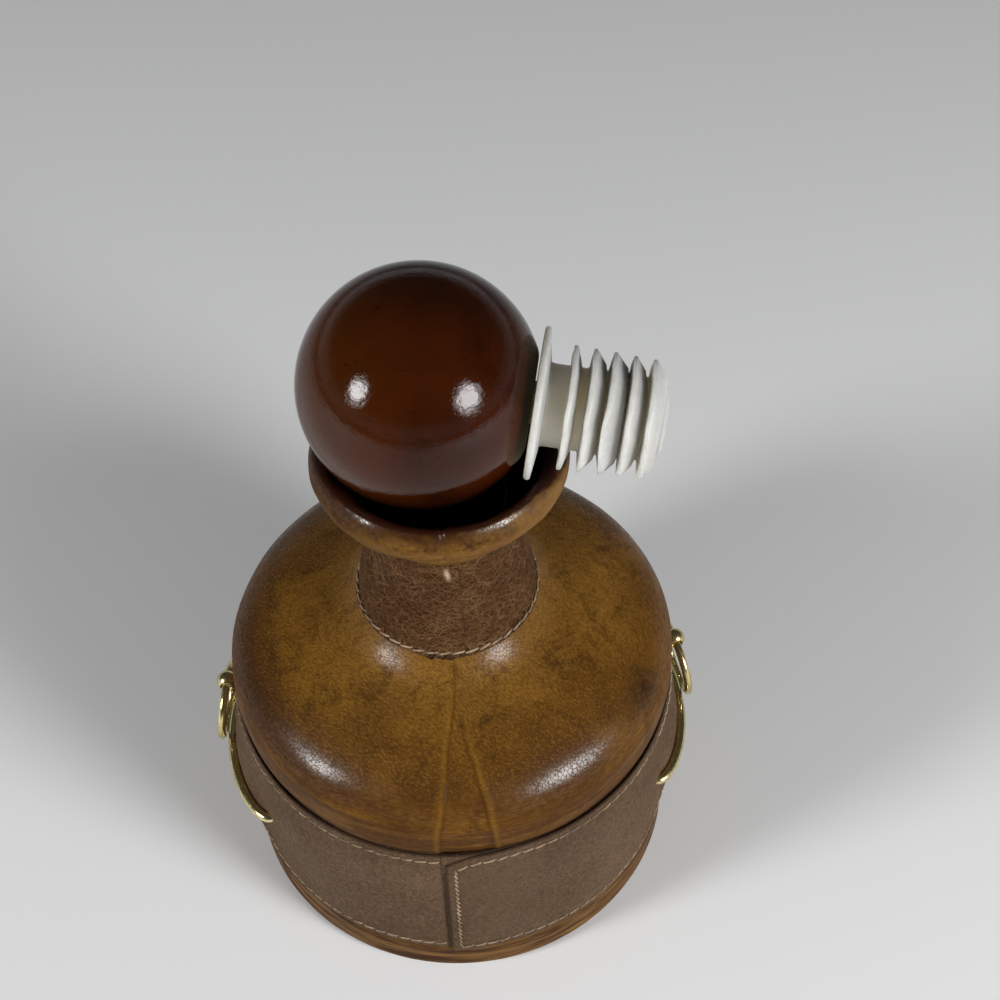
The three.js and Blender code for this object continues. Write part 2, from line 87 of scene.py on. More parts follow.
def heights(node):
    low, high = box_mm(node)
    return low[2], high[2]


BODY_RADIUS = box_mm("shoulder_cover")[1][0]
RIM_RADIUS = 30.65
NECK_RADIUS = 19.0
FRONT = -90.0
plinth_foot, plinth_top = heights("base_plinth")
band_foot, band_top = heights("body_band")
dome_foot, dome_top = heights("shoulder_cover")
collar_foot, rim_top = heights("mouth_collar")
sleeve_top = heights("neck_sleeve")[1]
glass_foot, lip_top = heights("glass_bottle")
print(f"body radius {BODY_RADIUS:.1f} mm, band {band_foot:.1f} to {band_top:.1f}, rim at {rim_top:.1f}")

# %% [markdown]
# ## Camera
# The photograph looks down at about fifty degrees through a long lens, with the camera rolled a little.
# A new camera looks straight down. Its matrix rolls it about its line of sight, tilts it up and moves it
# to its place.

# %% Place the camera
CAMERA_PLACE = (13.92, -300.81, 509.22)
CAMERA_PITCH = math.radians(51.37)
CAMERA_ROLL = math.radians(1.89)
LENS = 72.0
CLIP_START = 0.01


def show(name, data):
    """A new object in the scene."""
    thing = bpy.data.objects.new(name, data)
    bpy.context.scene.collection.objects.link(thing)
    return thing


camera = show("camera", bpy.data.cameras.new("camera"))
camera.data.lens = LENS
camera.data.clip_start = CLIP_START
tilted = Matrix.Rotation(math.pi / 2 - CAMERA_PITCH, 4, "X") @ Matrix.Rotation(-CAMERA_ROLL, 4, "Z")
camera.matrix_world = Matrix.Translation(Vector(CAMERA_PLACE) * MM) @ tilted
bpy.context.scene.camera = camera
print("camera", [round(x, 3) for x in camera.location], "lens", LENS)

# %% [markdown]
# ## Shader nodes
# A finish is a tree of nodes. Every socket knows the tree that it belongs to, so these helpers need only
# the sockets and values to be joined: a noise, an eased range, a product, colours laid over each other.
# Lengths inside a finish are in metres, because a shader sees Blender's own units.


# %% Nodes and materials
def add(tree, kind, inputs=None, **settings):
    """One shader node, with its settings and its sockets filled by values or by links."""
    node = tree.nodes.new("ShaderNode" + kind)
    for key, value in settings.items():
        setattr(node, key, value)
    for key, value in (inputs or {}).items():
        if isinstance(value, bpy.types.NodeSocket):
            tree.links.new(value, node.inputs[key])
        else:
            node.inputs[key].default_value = value
    return node


def tree_of(*values):
    return next(value.id_data for value in values if isinstance(value, bpy.types.NodeSocket))


def calc(operation, a, b=0.5):
    return add(tree_of(a, b), "Math", {0: a, 1: b}, operation=operation).outputs[0]


def times(first, *others):
    for other in others:
        first = calc("MULTIPLY", first, other)
    return first


def most(first, *others):
    for other in others:
        first = calc("MAXIMUM", first, other)
    return first


def vector_calc(operation, a, b=(0, 0, 0)):
    """Vector maths; a length, distance or dot product comes out as a value."""
    node = add(tree_of(a, b), "VectorMath", {0: a, 1: b}, operation=operation)
    return node.outputs["Value" if operation in ("LENGTH", "DISTANCE", "DOT_PRODUCT") else "Vector"]


def split(place):
    return add(place.id_data, "SeparateXYZ", {0: place}).outputs


def ranged(value, low, high, to_low=0.0, to_high=1.0):
    """A value eased from one range into another and held at both ends."""
    inputs = {"Value": value, "From Min": low, "From Max": high, "To Min": to_low, "To Max": to_high}
    return add(value.id_data, "MapRange", inputs, interpolation_type="SMOOTHSTEP").outputs[0]


def noise(place, scale, detail, **more):
    """Cloudy noise; more fills the node's other sockets."""
    inputs = {"Vector": place, "Scale": scale, "Detail": detail, **more}
    return add(place.id_data, "TexNoise", inputs).outputs["Fac"]


def blended(factor, a, b):
    return add(factor.id_data, "Mix", {"Factor": factor, "A": a, "B": b}).outputs[0]


def layered(color, *layers):
    """Colours laid one over the other, each as thick as its mask."""
    for mask, over in layers:
        color = add(mask.id_data, "Mix", {0: mask, 6: color, 7: over}, data_type="RGBA").outputs[2]
    return color


def bumped(height, strength, distance):
    inputs = {"Height": height, "Strength": strength, "Distance": distance}
    return add(height.id_data, "Bump", inputs).outputs[0]


def stretched(place, turn, scales):
    """Places turned about +Z and then scaled, so that a pattern runs long in one level direction."""
    inputs = {"Vector": place, "Angle": math.radians(turn)}
    spun = add(place.id_data, "VectorRotate", inputs, rotation_type="Z_AXIS")
    return vector_calc("MULTIPLY", spun.outputs[0], scales)


def new_finish(name):
    material = bpy.data.materials.new(name)
    material.use_nodes = True
    material.node_tree.nodes.clear()
    return material


def place_of(material):
    return add(material.node_tree, "TexCoord").outputs["Object"]


def carried(material, mark):
    """The value that a mesh carries at each point under the name of a mark."""
    return add(material.node_tree, "Attribute", attribute_name=mark).outputs["Fac"]


def shaded(material, inputs):
    shader = add(material.node_tree, "BsdfPrincipled", inputs)
    add(material.node_tree, "OutputMaterial", {"Surface": shader.outputs[0]})
    return material


print("shader helpers ready")

# %% [markdown]
# ## Floor and light
# Two lamps stand low to the left and right of the camera, which gives each round surface a pair of
# highlights. Each is a soft box with a hotter core in front of it, so a highlight fades towards its
# edge. The room is light at floor level and dark above, so shadows are filled from the sides and nothing
# is mirrored from the ceiling. The floor is a plain pale sheet, large enough to fill the picture.

# %% Floor, lamps and world
FLOOR_SIZE = 6.0
FLOOR_COLOR = (0.81, 0.815, 0.82, 1)
WALL_LIGHT = 0.43
WALL_TOP = 0.28
CEILING_LIGHT = 0.05
LAMP_TARGET = Vector((0, 0, 0.17))
LEFT_WAY = (-0.818, -0.421, 0.392)
RIGHT_WAY = (0.720, -0.596, 0.355)
# Direction, distance, width, height and watts.
LAMPS = {
    "soft_box_left": (LEFT_WAY, 1.15, 0.40, 0.50, 3.7),
    "soft_box_left_core": (LEFT_WAY, 1.14, 0.27, 0.30, 5.6),
    "soft_box_right": (RIGHT_WAY, 1.15, 0.60, 0.54, 5.8),
    "soft_box_right_core": (RIGHT_WAY, 1.14, 0.37, 0.38, 8.3),
}

half = FLOOR_SIZE / 2
mesh = bpy.data.meshes.new("floor")
corners = [(-half, -half, 0), (half, -half, 0), (half, half, 0), (-half, half, 0)]
mesh.from_pydata(corners, [], [(0, 1, 2, 3)])
mesh.materials.append(shaded(new_finish("floor_sheet"), {"Base Color": FLOOR_COLOR, "Roughness": 0.7}))
floor = show("floor", mesh)
floor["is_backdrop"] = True


def make_lamp(name, way, away, wide, tall, watts):
    lamp = bpy.data.lights.new(name, "AREA")
    lamp.shape = "ELLIPSE"
    lamp.size, lamp.size_y = wide, tall
    lamp.energy = watts
    holder = show(name, lamp)
    holder.location = LAMP_TARGET + Vector(way).normalized() * away
    holder.rotation_mode = "QUATERNION"
    holder.rotation_quaternion = (LAMP_TARGET - holder.location).to_track_quat("-Z", "Y")


world = bpy.data.worlds.new("room")
world.use_nodes = True
tree = world.node_tree
tree.nodes.clear()
climb = split(add(tree, "TexCoord").outputs["Generated"])["Z"]
level = ranged(climb, 0.0, WALL_TOP, WALL_LIGHT, CEILING_LIGHT)
sky = add(tree, "Background", {"Color": (1, 1, 1, 1), "Strength": level})
add(tree, "OutputWorld", {"Surface": sky.outputs[0]})
bpy.context.scene.world = world
for lamp_name, lamp_setting in LAMPS.items():
    make_lamp(lamp_name, *lamp_setting)
bpy.context.scene.view_settings.view_transform = "Standard"
print("lamps:", ", ".join(LAMPS))

# %% [markdown]
# ## Turning, bending and skinning
# Nearly every piece here is round, so the main tool is a lathe: an outline of radius and height points
# swept round the axis. The rows of points stay in an array, because sewn leather isn't perfect: before
# the skin goes on, the array can be pushed along its own normals to make pleats, laps, seams and dents.


# %% Curves and lathe
def curve(*points, steps):
    """Points on the Bezier curve with these control points."""
    share = np.linspace(0, 1, steps + 1)[:, None]
    top = len(points) - 1
    weights = [math.comb(top, k) * share**k * (1 - share) ** (top - k) for k in range(top + 1)]
    return sum(w * np.array(p, float) for w, p in zip(weights, points))


def arc(centre, radius, start, end, steps):
    turns = np.radians(np.linspace(start, end, steps + 1))
    return np.column_stack([centre[0] + radius * np.cos(turns), centre[1] + radius * np.sin(turns)])


def offset(line, distance):
    """The line moved to its left by a distance."""
    along = np.gradient(line, axis=0)
    along /= np.linalg.norm(along, axis=1)[:, None]
    return line + distance * np.column_stack([-along[:, 1], along[:, 0]])


def chain(*stretches):
    """Stretches of outline joined end to end, without doubled points."""
    points = np.vstack(stretches)
    keep = np.r_[True, np.linalg.norm(np.diff(points, axis=0), axis=1) > 1e-6]
    return points[keep]


def evenly(count):
    return np.linspace(0, 360, count, endpoint=False)


def wrapped(radius, turns, height):
    """Points in space from radii, turns in degrees and heights."""
    around = np.radians(turns)
    return np.stack([radius * np.cos(around), radius * np.sin(around), height + 0 * around], axis=-1)


def turned(outline, turns):
    """Rows of points: each (radius, height) of the outline at each turn round +Z."""
    return wrapped(outline[:, 0, None], turns, outline[:, 1, None])


def out_of(rows):
    """The way out of a turned skin at each of its points."""
    along_loop = np.roll(rows, -1, axis=1) - np.roll(rows, 1, axis=1)
    normal = np.cross(along_loop, np.gradient(rows, axis=0))
    return normal / np.maximum(np.linalg.norm(normal, axis=2, keepdims=True), 1e-9)


def turn_apart(turn, other):
    return (np.asarray(turn) - other + 180) % 360 - 180


def way_round(turn, other, radius=BODY_RADIUS):
    """Distance in millimetres round a circle from one turn to another."""
    return np.radians(turn_apart(turn, other)) * radius


def bell(value, width):
    return np.exp(-((value / width) ** 2))


def waves(turns, *terms):
    """Unevenness round the turn, summed from waves of a height, a count and a start."""
    around = np.radians(turns)
    return sum(height * np.sin(count * around + start) for height, count, start in terms)


def soft_step(value, low, high):
    share = np.clip((value - low) / (high - low), 0, 1)
    return share * share * (3 - 2 * share)


print("lathe ready")


# %% Skins
def mesh_object(name, verts, faces, marks=None):
    mesh = bpy.data.meshes.new(name)
    mesh.from_pydata((np.asarray(verts) * MM).tolist(), [], faces)
    for mark, values in (marks or {}).items():
        layer = mesh.attributes.new(mark, "FLOAT", "POINT")
        layer.data.foreach_set("value", np.asarray(values, np.float32).ravel())
    work = bmesh.new()
    work.from_mesh(mesh)
    bmesh.ops.remove_doubles(work, verts=work.verts, dist=1e-7)
    bmesh.ops.recalc_face_normals(work, faces=work.faces)
    work.to_mesh(mesh)
    work.free()
    mesh.shade_smooth()
    return show(name, mesh)


def grid_faces(count, loop, closed=False, first=0):
    """Faces between rows of points, each row a loop."""
    rows = np.arange(count if closed else count - 1)[:, None]
    cols = np.arange(loop)[None, :]
    after, beside = (rows + 1) % count, (cols + 1) % loop
    corners = [rows * loop + cols, rows * loop + beside, after * loop + beside, after * loop + cols]
    return (np.stack(corners, axis=-1).reshape(-1, 4) + first).tolist()


def capped_faces(count, loop, first=0):
    """Faces of an open tube, with both its ends closed."""
    last = first + (count - 1) * loop
    ends = [list(range(first, first + loop))[::-1], list(range(last, last + loop))]
    return grid_faces(count, loop, first=first) + ends


def skin(name, rows, closed=False, marks=None):
    """A mesh over rows of points; a closed skin joins the last row to the first."""
    return mesh_object(name, rows.reshape(-1, 3), grid_faces(*rows.shape[:2], closed), marks)


def dress(piece, body, slot, material, *nodes):
    """Gives a piece its finish and its body, and hides the solids that it stands for."""
    piece.data.materials.clear()
    piece.data.materials.append(material)
    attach(piece, body)
    if nodes:
        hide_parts(*nodes)
    print(f"{piece.name}: {len(piece.data.polygons)} faces")


print("skins ready")

# %% [markdown]
# ## Shared effects
# Several finishes need the same things: a pattern of grain, uneven stain and a few dark marks. Each of
# these is a node group with named sockets, built once and placed in each material with its own values,
# in the order of its inputs. A group puts out only colours, masks and heights; the shader itself stays
# in the material.


# %% Node groups for grain, stain and marks
def new_group(name, inputs, outputs):
    """A node group, what it is given and what it makes; the size of a value tells its kind."""
    group = bpy.data.node_groups.new(name, "ShaderNodeTree")
    for label, value in inputs.items():
        kind = {1: "Float", 3: "Vector", 4: "Color"}[np.size(value)]
        socket = group.interface.new_socket(name=label, in_out="INPUT", socket_type="NodeSocket" + kind)
        socket.default_value = value
    for label in outputs:
        kind = "Color" if label == "Color" else "Float"
        group.interface.new_socket(name=label, in_out="OUTPUT", socket_type="NodeSocket" + kind)
    return group, group.nodes.new("NodeGroupInput").outputs, group.nodes.new("NodeGroupOutput").inputs


def placed(group, place, *values):
    return add(place.id_data, "Group", dict(enumerate((place, *values))), node_tree=group).outputs


def grain_group():
    """Leather grain: small cells parted by creases, over a finer pore noise."""
    inputs = {"Vector": (0, 0, 0), "Cells": 900.0, "Crease Width": 0.12, "Pores": 0.4}
    group, given, made = new_group("leather_grain", inputs, ["Height", "Creases"])
    place = given["Vector"]
    bend = add(group, "TexNoise", {"Vector": place, "Scale": 260.0, "Detail": 3.0}).outputs["Color"]
    bent = vector_calc("ADD", place, vector_calc("MULTIPLY", bend, (0.0016, 0.0016, 0.0016)))
    voronoi = {"Vector": bent, "Scale": given["Cells"], "Randomness": 1.0}
    cells = add(group, "TexVoronoi", voronoi, feature="DISTANCE_TO_EDGE")
    swell = ranged(cells.outputs["Distance"], 0.0, given["Crease Width"])
    pores = times(noise(place, 2400.0, 2.0), given["Pores"])
    group.links.new(calc("ADD", swell, pores), made["Height"])
    group.links.new(calc("SUBTRACT", 1.0, swell), made["Creases"])
    return group


def stain_group():
    """Uneven stain: broad patches and smaller flecks between a light and a dark colour."""
    inputs = {"Vector": (0, 0, 0), "Light": (0.5, 0.5, 0.5, 1), "Dark": (0.1, 0.1, 0.1, 1)}
    inputs |= {"Patches": 30.0, "Flecks": 240.0, "Fleck Share": 0.4}
    group, given, made = new_group("uneven_stain", inputs, ["Color", "Mask"])
    patches = noise(given["Vector"], given["Patches"], 4.0, Distortion=0.6)
    flecks = noise(given["Vector"], given["Flecks"], 5.0)
    mask = ranged(blended(given["Fleck Share"], patches, flecks), 0.36, 0.64)
    group.links.new(layered(given["Dark"], (mask, given["Light"])), made["Color"])
    group.links.new(mask, made["Mask"])
    return group


def mark_group():
    """One soft mark: an ellipse round a centre, long in one direction, with a ragged edge."""
    inputs = {"Vector": (0, 0, 0), "Centre": (0, 0, 0), "Along": (1, 0, 0)}
    inputs |= {"Length": 0.01, "Width": 0.004}
    group, given, made = new_group("soft_mark", inputs, ["Mask"])
    apart = vector_calc("SUBTRACT", given["Vector"], given["Centre"])
    along = vector_calc("DOT_PRODUCT", apart, given["Along"])
    far_squared = calc("POWER", vector_calc("LENGTH", apart), 2.0)
    side = calc("SQRT", most(calc("SUBTRACT", far_squared, times(along, along)), 0.0))
    shares = {"X": calc("DIVIDE", side, given["Width"]), "Y": calc("DIVIDE", along, given["Length"])}
    reach = vector_calc("LENGTH", add(group, "CombineXYZ", shares).outputs[0])
    torn = calc("ADD", reach, noise(given["Vector"], 420.0, 4.0))
    group.links.new(ranged(torn, 1.5, 0.4), made["Mask"])
    return group


GRAIN, STAIN, MARK = grain_group(), stain_group(), mark_group()
print("groups:", GRAIN.name, STAIN.name, MARK.name)

# %% [markdown]
# ## Tan dome
# The shoulder is one piece of smooth tan leather, wet-formed over the glass and pulled tight, with a
# dart at the front where the spare leather was taken up. The dart shows as two folds that run together
# under the neck, with a sunk panel between them. A lathe gives the form, and the folds are pushed along
# the normals, so they catch the light as they do on the real one. The finish adds a painted highlight
# on their crests and painted shade in their creases.

# %% Outline of the dome
LEATHER = 2.2
DOME_TUCK = 1.4
WIDEST_ABOVE = 10.2
CROWN_SIDE_REACH = 11.5
CROWN_TOP_REACH = 17.0
CROWN_SLOPE = 0.364
DOME_HOLE = NECK_RADIUS + 1.8
FILLET_RUN, FILLET_RISE, FILLET_FLAT = 9.2, 8.2, 4.6

crown_end = np.array([DOME_HOLE + FILLET_RUN, dome_top - FILLET_RISE])
fillet_bend = crown_end + (-FILLET_FLAT, FILLET_FLAT * CROWN_SLOPE)
widest = np.array([BODY_RADIUS, band_top + WIDEST_ABOVE])
dome_side = curve((BODY_RADIUS - DOME_TUCK, dome_foot), (BODY_RADIUS, dome_foot + 0.3), widest, steps=14)
crown_bend = crown_end + (CROWN_TOP_REACH, -CROWN_TOP_REACH * CROWN_SLOPE)
dome_crown = curve(widest, widest + (0, CROWN_SIDE_REACH), crown_bend, crown_end, steps=56)
dome_fillet = curve(crown_end, fillet_bend, (DOME_HOLE, dome_top), steps=16)
dome_outside = chain(dome_side, dome_crown, dome_fillet)
dome_top_line = chain(dome_crown, dome_fillet)
dome_outline = chain(
    dome_outside,
    offset(dome_top_line, LEATHER)[::-6],
    [(BODY_RADIUS - LEATHER, dome_foot + 0.4), (BODY_RADIUS - DOME_TUCK - 0.5, dome_foot)],
)
print("dome outline:", len(dome_outline), "points")

# %% Dart folds and the skin of the dome
# Each fold is a list of heights in millimetres and turns in degrees, from the foot up to the neck.
FOLD_LEFT = [
    (64.0, -94.0),
    (72.0, -93.9),
    (82.9, -92.3),
    (89.4, -91.3),
    (93.3, -88.6),
    (96.4, -87.6),
    (100.4, -88.0),
]
FOLD_RIGHT = [(64.0, -79.9), (74.0, -80.6), (82.3, -81.6), (86.8, -82.9), (90.4, -85.0), (92.3, -86.2)]
FOLD_RISE = 0.10
FOLD_WIDTH = 0.75
FOLD_SIDE = 0.7
CREASE_WIDTH = 0.45
CREASE_SIDE = 0.4
PANEL_SINK = 0.22
PANEL_EDGE = (-0.1, 0.9)
# Heights between which the dart, the left fold and the left crease come in, from none to full.
DART_ENDS, LEFT_FOLD_ENDS, LEFT_CREASE_ENDS = (93.0, 88.0), (97.0, 90.0), (101.5, 99.0)
UNEVEN_TOP, UNEVEN_EASE = 100, 6
FINE_FRONT, FINE_STEP, COARSE_STEP = 22.0, 0.25, 1.2

dome_turns = np.r_[
    np.arange(FRONT - FINE_FRONT, FRONT + FINE_FRONT, FINE_STEP),
    np.arange(FRONT + FINE_FRONT, FRONT - FINE_FRONT + 360, COARSE_STEP),
]


def side_of_fold(rows, fold):
    """Distance in millimetres to the right of a fold, for every point of the dome's rows."""
    fold_turn = np.interp(rows[:, :, 2], *np.array(fold).T)
    return way_round(dome_turns[None, :], fold_turn, np.hypot(rows[:, :, 0], rows[:, :, 1]))


def dome_relief(rows):
    """Heights of the skin, and how deep in a crease and how high on a fold each point lies."""
    left, right = side_of_fold(rows, FOLD_LEFT), side_of_fold(rows, FOLD_RIGHT)
    height = rows[:, :, 2]
    low_enough = soft_step(height, *DART_ENDS)
    panel = soft_step(left, *PANEL_EDGE) * soft_step(-right, *PANEL_EDGE) * low_enough
    crest = np.maximum(
        bell(left + FOLD_SIDE, FOLD_WIDTH) * soft_step(height, *LEFT_FOLD_ENDS),
        bell(right - FOLD_SIDE, FOLD_WIDTH) * low_enough,
    )
    crease = np.maximum(
        bell(left - CREASE_SIDE, CREASE_WIDTH) * soft_step(height, *LEFT_CREASE_ENDS),
        bell(right + CREASE_SIDE, CREASE_WIDTH) * low_enough,
    )
    uneven = waves(dome_turns, (0.10, 3, 0.6), (0.07, 7, height / 7), (0.05, 13, -height / 4))
    uneven = uneven * np.clip((UNEVEN_TOP - height) / UNEVEN_EASE, 0, 1)
    relief = FOLD_RISE * crest - PANEL_SINK * panel + uneven
    return relief, crease, crest


rows = turned(dome_outline, dome_turns)
relief, crease, crest = dome_relief(rows)
outside = np.arange(len(dome_outline))[:, None] < len(dome_outside)
rows += out_of(rows) * (relief * outside)[:, :, None]
marks = {"crease": crease * outside, "crest": crest * outside}
dome = skin("shoulder_leather", rows, closed=True, marks=marks)
print("dome:", len(dome.data.vertices), "points")

# %% [markdown]
# The dome's colour is a golden tan that was dyed by hand, so it is darker where dye pooled: along the
# lower edge, on the left and in a few smudges. Very fine slanted hair grain breaks up the highlights.
# Broad patches and flecks come from the stain group, each smudge from the mark group, and the hair from
# stretched noise. The polish is a coat that shows only where the crown was rubbed. Some colour is
# painted light and shade: a lighter patch on the right of the crown, paler fold crests with darker
# creases beside them, and one dark smudge in the hollow where the two folds meet.

# %% Marks on the dome
# Turn, radius and height of a mark, its length, width and strength, and its direction's turn and climb.
DOME_MARKS = [
    ((-25, 54.0, 82.0), 11, 9, 0.95, (60, 0.2)),
    # Painted shade: the dark spot in the hollow where the two folds meet.
    ((-86, 37.0, 91.1), 3.5, 1.6, 0.6, (85, 0.2)),
    ((-37, 34.0, 92.0), 9, 2.2, 0.5, (10, 0.0)),
    ((2, 31.0, 93.6), 5, 0.5, 0.5, (-20, 0.0)),
    ((6, 31.5, 93.4), 5, 0.5, 0.5, (-14, 0.0)),
    ((-146, 55.2, 80.4), 8, 0.5, 0.6, (-146, -0.9)),
    ((-149, 55.2, 80.4), 7, 0.5, 0.5, (-149, -0.9)),
    ((-74, 36.5, 91.2), 9, 2.2, 0.6, (25, 0.05)),
    ((-94, 27.5, 95.0), 4.5, 0.6, 0.8, (18, 0.1)),
    ((-106, 29.0, 94.0), 4.5, 1.2, 0.6, (45, 0.2)),
    ((-127, 34.0, 92.0), 9, 5, 0.45, (-30, 0.2)),
    ((-160, 54.8, 81.1), 30, 9, 0.35, (110, 0.0)),
    ((-168, 47.0, 87.4), 16, 5, 0.3, (100, 0.2)),
    ((-139, 39.5, 91.0), 7, 1.8, 0.6, (-40, 0.2)),
    ((-128, 38.0, 91.6), 6, 1.6, 0.55, (-52, 0.1)),
    ((-58, 33.0, 93.6), 8, 1.3, 0.55, (48, -0.1)),
    ((-128, 57.0, 77.0), 16, 3.5, 0.5, (-35, 0.0)),
    ((-60, 42.0, 89.3), 9, 3, 0.3, (40, -0.3)),
    ((-55, 57.0, 76.0), 18, 3, 0.45, (35, 0.0)),
    ((40, 52.0, 84.0), 14, 7, 0.4, (120, 0.0)),
    ((120, 48.0, 86.5), 16, 6, 0.4, (30, 0.1)),
]


def on_body(turn, radius, height):
    """A point in metres from a turn in degrees, a radius and a height in millimetres."""
    return Vector(wrapped(radius, turn, height) * MM)


def dome_marks(place):
    """How dark the dye pooled, from all the smudges, and the painted shade where the folds meet."""
    masks = []
    for centre, length, width, strength, (turn, climb) in DOME_MARKS:
        along = Vector(wrapped(1, turn, climb)).normalized()
        mark = placed(MARK, place, on_body(*centre), along, length * MM, width * MM)
        masks.append(times(mark["Mask"], strength))
    return most(*masks)


print("dome marks:", len(DOME_MARKS))

# %% Finish of the dome
TAN_LIGHT = (0.186, 0.083, 0.0095, 1)
TAN_MIDDLE = (0.112, 0.0475, 0.0062, 1)
TAN_OLIVE = (0.200, 0.097, 0.0190, 1)
TAN_DARK = (0.060, 0.0235, 0.0042, 1)
# Deep brown for the dark hair grain, and painted shade in the fold creases.
TAN_GRAIN_AND_CREASE_SHADE = (0.040, 0.015, 0.0022, 1)
# Dark brown for pooled dye, and for the painted shade where the folds meet.
TAN_POOLED_AND_SHADE = (0.026, 0.0105, 0.0036, 1)
TAN_LOW = (0.056, 0.0200, 0.0030, 1)
TAN_SHOULDER = (0.060, 0.0220, 0.0040, 1)
# Pale tan for the paler hair grain, and painted light on the crown's right and on the fold crests.
TAN_PALE_GRAIN_AND_LIT = (0.31, 0.150, 0.024, 1)
HAIR_TURN = 40.0
HAIR_SCALES = (900, 2900, 2500)
SIDE_HAIR_SCALES = (560, 560, 3000)
STREAK_SCALES = (40, 40, 520)

material = new_finish("tan_leather")
place = place_of(material)
across, _, height = split(place)
stain = placed(STAIN, place, TAN_LIGHT, TAN_MIDDLE, 42.0, 800.0, 0.12)
# Painted light: a lighter patch on the right of the crown.
painted_light_patch = placed(MARK, place, on_body(8, 40, 90.5), (0, 1, 0), 0.030, 0.014)["Mask"]
wisps = noise(place, 80.0, 9.0, Roughness=0.72, Distortion=1.2)
streaks = noise(stretched(place, 0.0, STREAK_SCALES), 1.0, 4.0)
low_edge = times(ranged(height, 0.084, 0.072, 0.0, 0.9), ranged(streaks, 0.36, 0.62, 0.2, 1.0))
shoulder = times(
    ranged(height, 0.0895, 0.0835),
    ranged(height, 0.0765, 0.0805, 0.25, 1.0),
    ranged(noise(place, 34.0, 5.0), 0.30, 0.58, 0.35, 1.0),
    ranged(across, 0.036, 0.056, 1.0, 0.35),
)
slanted = noise(stretched(place, HAIR_TURN, HAIR_SCALES), 1.0, 1.0)
level = noise(stretched(place, 0.0, SIDE_HAIR_SCALES), 1.0, 1.0)
hair = blended(ranged(height, 0.086, 0.079), slanted, level)
crest, crease = carried(material, "crest"), carried(material, "crease")
color = layered(
    stain["Color"],
    (ranged(height, 0.089, 0.096, 0.0, 0.6), TAN_OLIVE),
    # painted light on the right of the crown
    (times(painted_light_patch, 0.6), TAN_PALE_GRAIN_AND_LIT),
    (ranged(wisps, 0.46, 0.68, 0.0, 0.8), TAN_DARK),
    (low_edge, TAN_LOW),
    (shoulder, TAN_SHOULDER),
    # pooled dye, and painted shade where the folds meet
    (dome_marks(place), TAN_POOLED_AND_SHADE),
    (ranged(hair, 0.53, 0.34, 0.0, 0.42), TAN_GRAIN_AND_CREASE_SHADE),
    (times(ranged(hair, 0.53, 0.70), ranged(height, 0.080, 0.088, 0.12, 0.30)), TAN_PALE_GRAIN_AND_LIT),
    # painted highlight on the fold crests and painted shade in the creases beside them
    (times(crest, 0.2), TAN_PALE_GRAIN_AND_LIT),
    (times(crease, 0.42), TAN_GRAIN_AND_CREASE_SHADE),
)
relief = calc("ADD", times(placed(GRAIN, place, 1100.0, 0.25, 0.5)["Height"], 0.4), hair)
polish = times(
    ranged(height, 0.076, 0.083, 0.04, 1.0),
    ranged(height, 0.092, 0.096, 1.0, 0.6),
    ranged(relief, 0.55, 0.95, 0.15, 0.75),
    ranged(most(crest, crease), 0.1, 0.7, 1.0, 0.1),
)
inputs = {"Base Color": color, "Roughness": ranged(stain["Mask"], 0.0, 1.0, 0.5, 0.42), "IOR": 1.46}
inputs |= {"Specular IOR Level": 0.04, "Normal": bumped(relief, 0.4, 0.00011)}
shaded(material, inputs | {"Coat Weight": polish, "Coat Roughness": 0.26, "Coat IOR": 1.48})
dress(dome, "decanter", "tan_leather", material, "shoulder_cover")

# %% [markdown]
# ## Taupe band
# The body is wrapped in one strip of fine-grained leather whose right end laps over the left at the
# front. Behind the brass the strip stands off the bottle a little. The strip is a lathe whose radius
# changes round the turn: it steps up at the lap, swells to meet each bow, dips along the seams and
# dimples where brass goes in.

# %% Sizes of the band and the brass on it
BAND_THICKNESS = 2.2
EDGE_ROUND = 0.6
LAP_TURN = -92.8
LAP_RISE = 1.2
LAP_LENGTH = 18.0
LAP_EDGE = 0.22
LAP_TONE_LENGTH = 48.0
LAP_GROOVE, LAP_GROOVE_WIDTH = 0.4, 1.1
CORNER_DROP = 4.2
CORNER_LENGTH = 8.5
CORNER_FOOT = 14
UNDER_END_THICKNESS, UNDER_END_HEIGHT = 1.2, 9
UNDER_END_START, UNDER_END_ROWS = 1.2, 24
UNDER_END_SINK, UNDER_END_SLOPE = 0.04, 0.25
BULGE_RISE = 2.8
BULGE_HALF_WIDTH = 42.0
POST_TURNS = {"left": 173.5, "right": 15.0}
POST_HEIGHT = 48.0
BOW_HEIGHT = 31.0
BOW_HALF_SPAN = 34.0
BOW_REACH = 2.5
BOW_ROD = 1.35
BOW_FULLNESS = 0.8
BOW_END_DEPTH = 1.1
BOW_SWELL = 1.5
BOW_GAP = -0.05
SEAM_FOOT, SEAM_TOP = band_foot + 2.5, band_top - 3.2
SEAM_LAP = LAP_TURN + 2.5
SEAM_MARGIN = 1.2
SEAM_SINK = 0.16
SEAM_WIDTH = 0.6
DIMPLE, DIMPLE_WIDTH = 0.7, 1.9
band_half = (band_top - band_foot) / 2


def nearest_post(amount, turn):
    """The larger of two amounts, each from the turn away from one of the posts."""
    return np.maximum(*[amount(turn_apart(turn, post)) for post in POST_TURNS.values()])


def bulge(turn, height):
    """How far the band stands off the bottle behind the brass."""
    up = (height - band_foot - band_half) / band_half
    share = nearest_post(lambda apart: 1 - np.clip(np.abs(apart) / BULGE_HALF_WIDTH, 0, 1), turn)
    return BULGE_RISE * np.sin(share * math.pi / 2) ** 2 * np.clip(1 - up**2, 0, 1)


def past_lap(turn):
    return (np.asarray(turn) - LAP_TURN) % 360


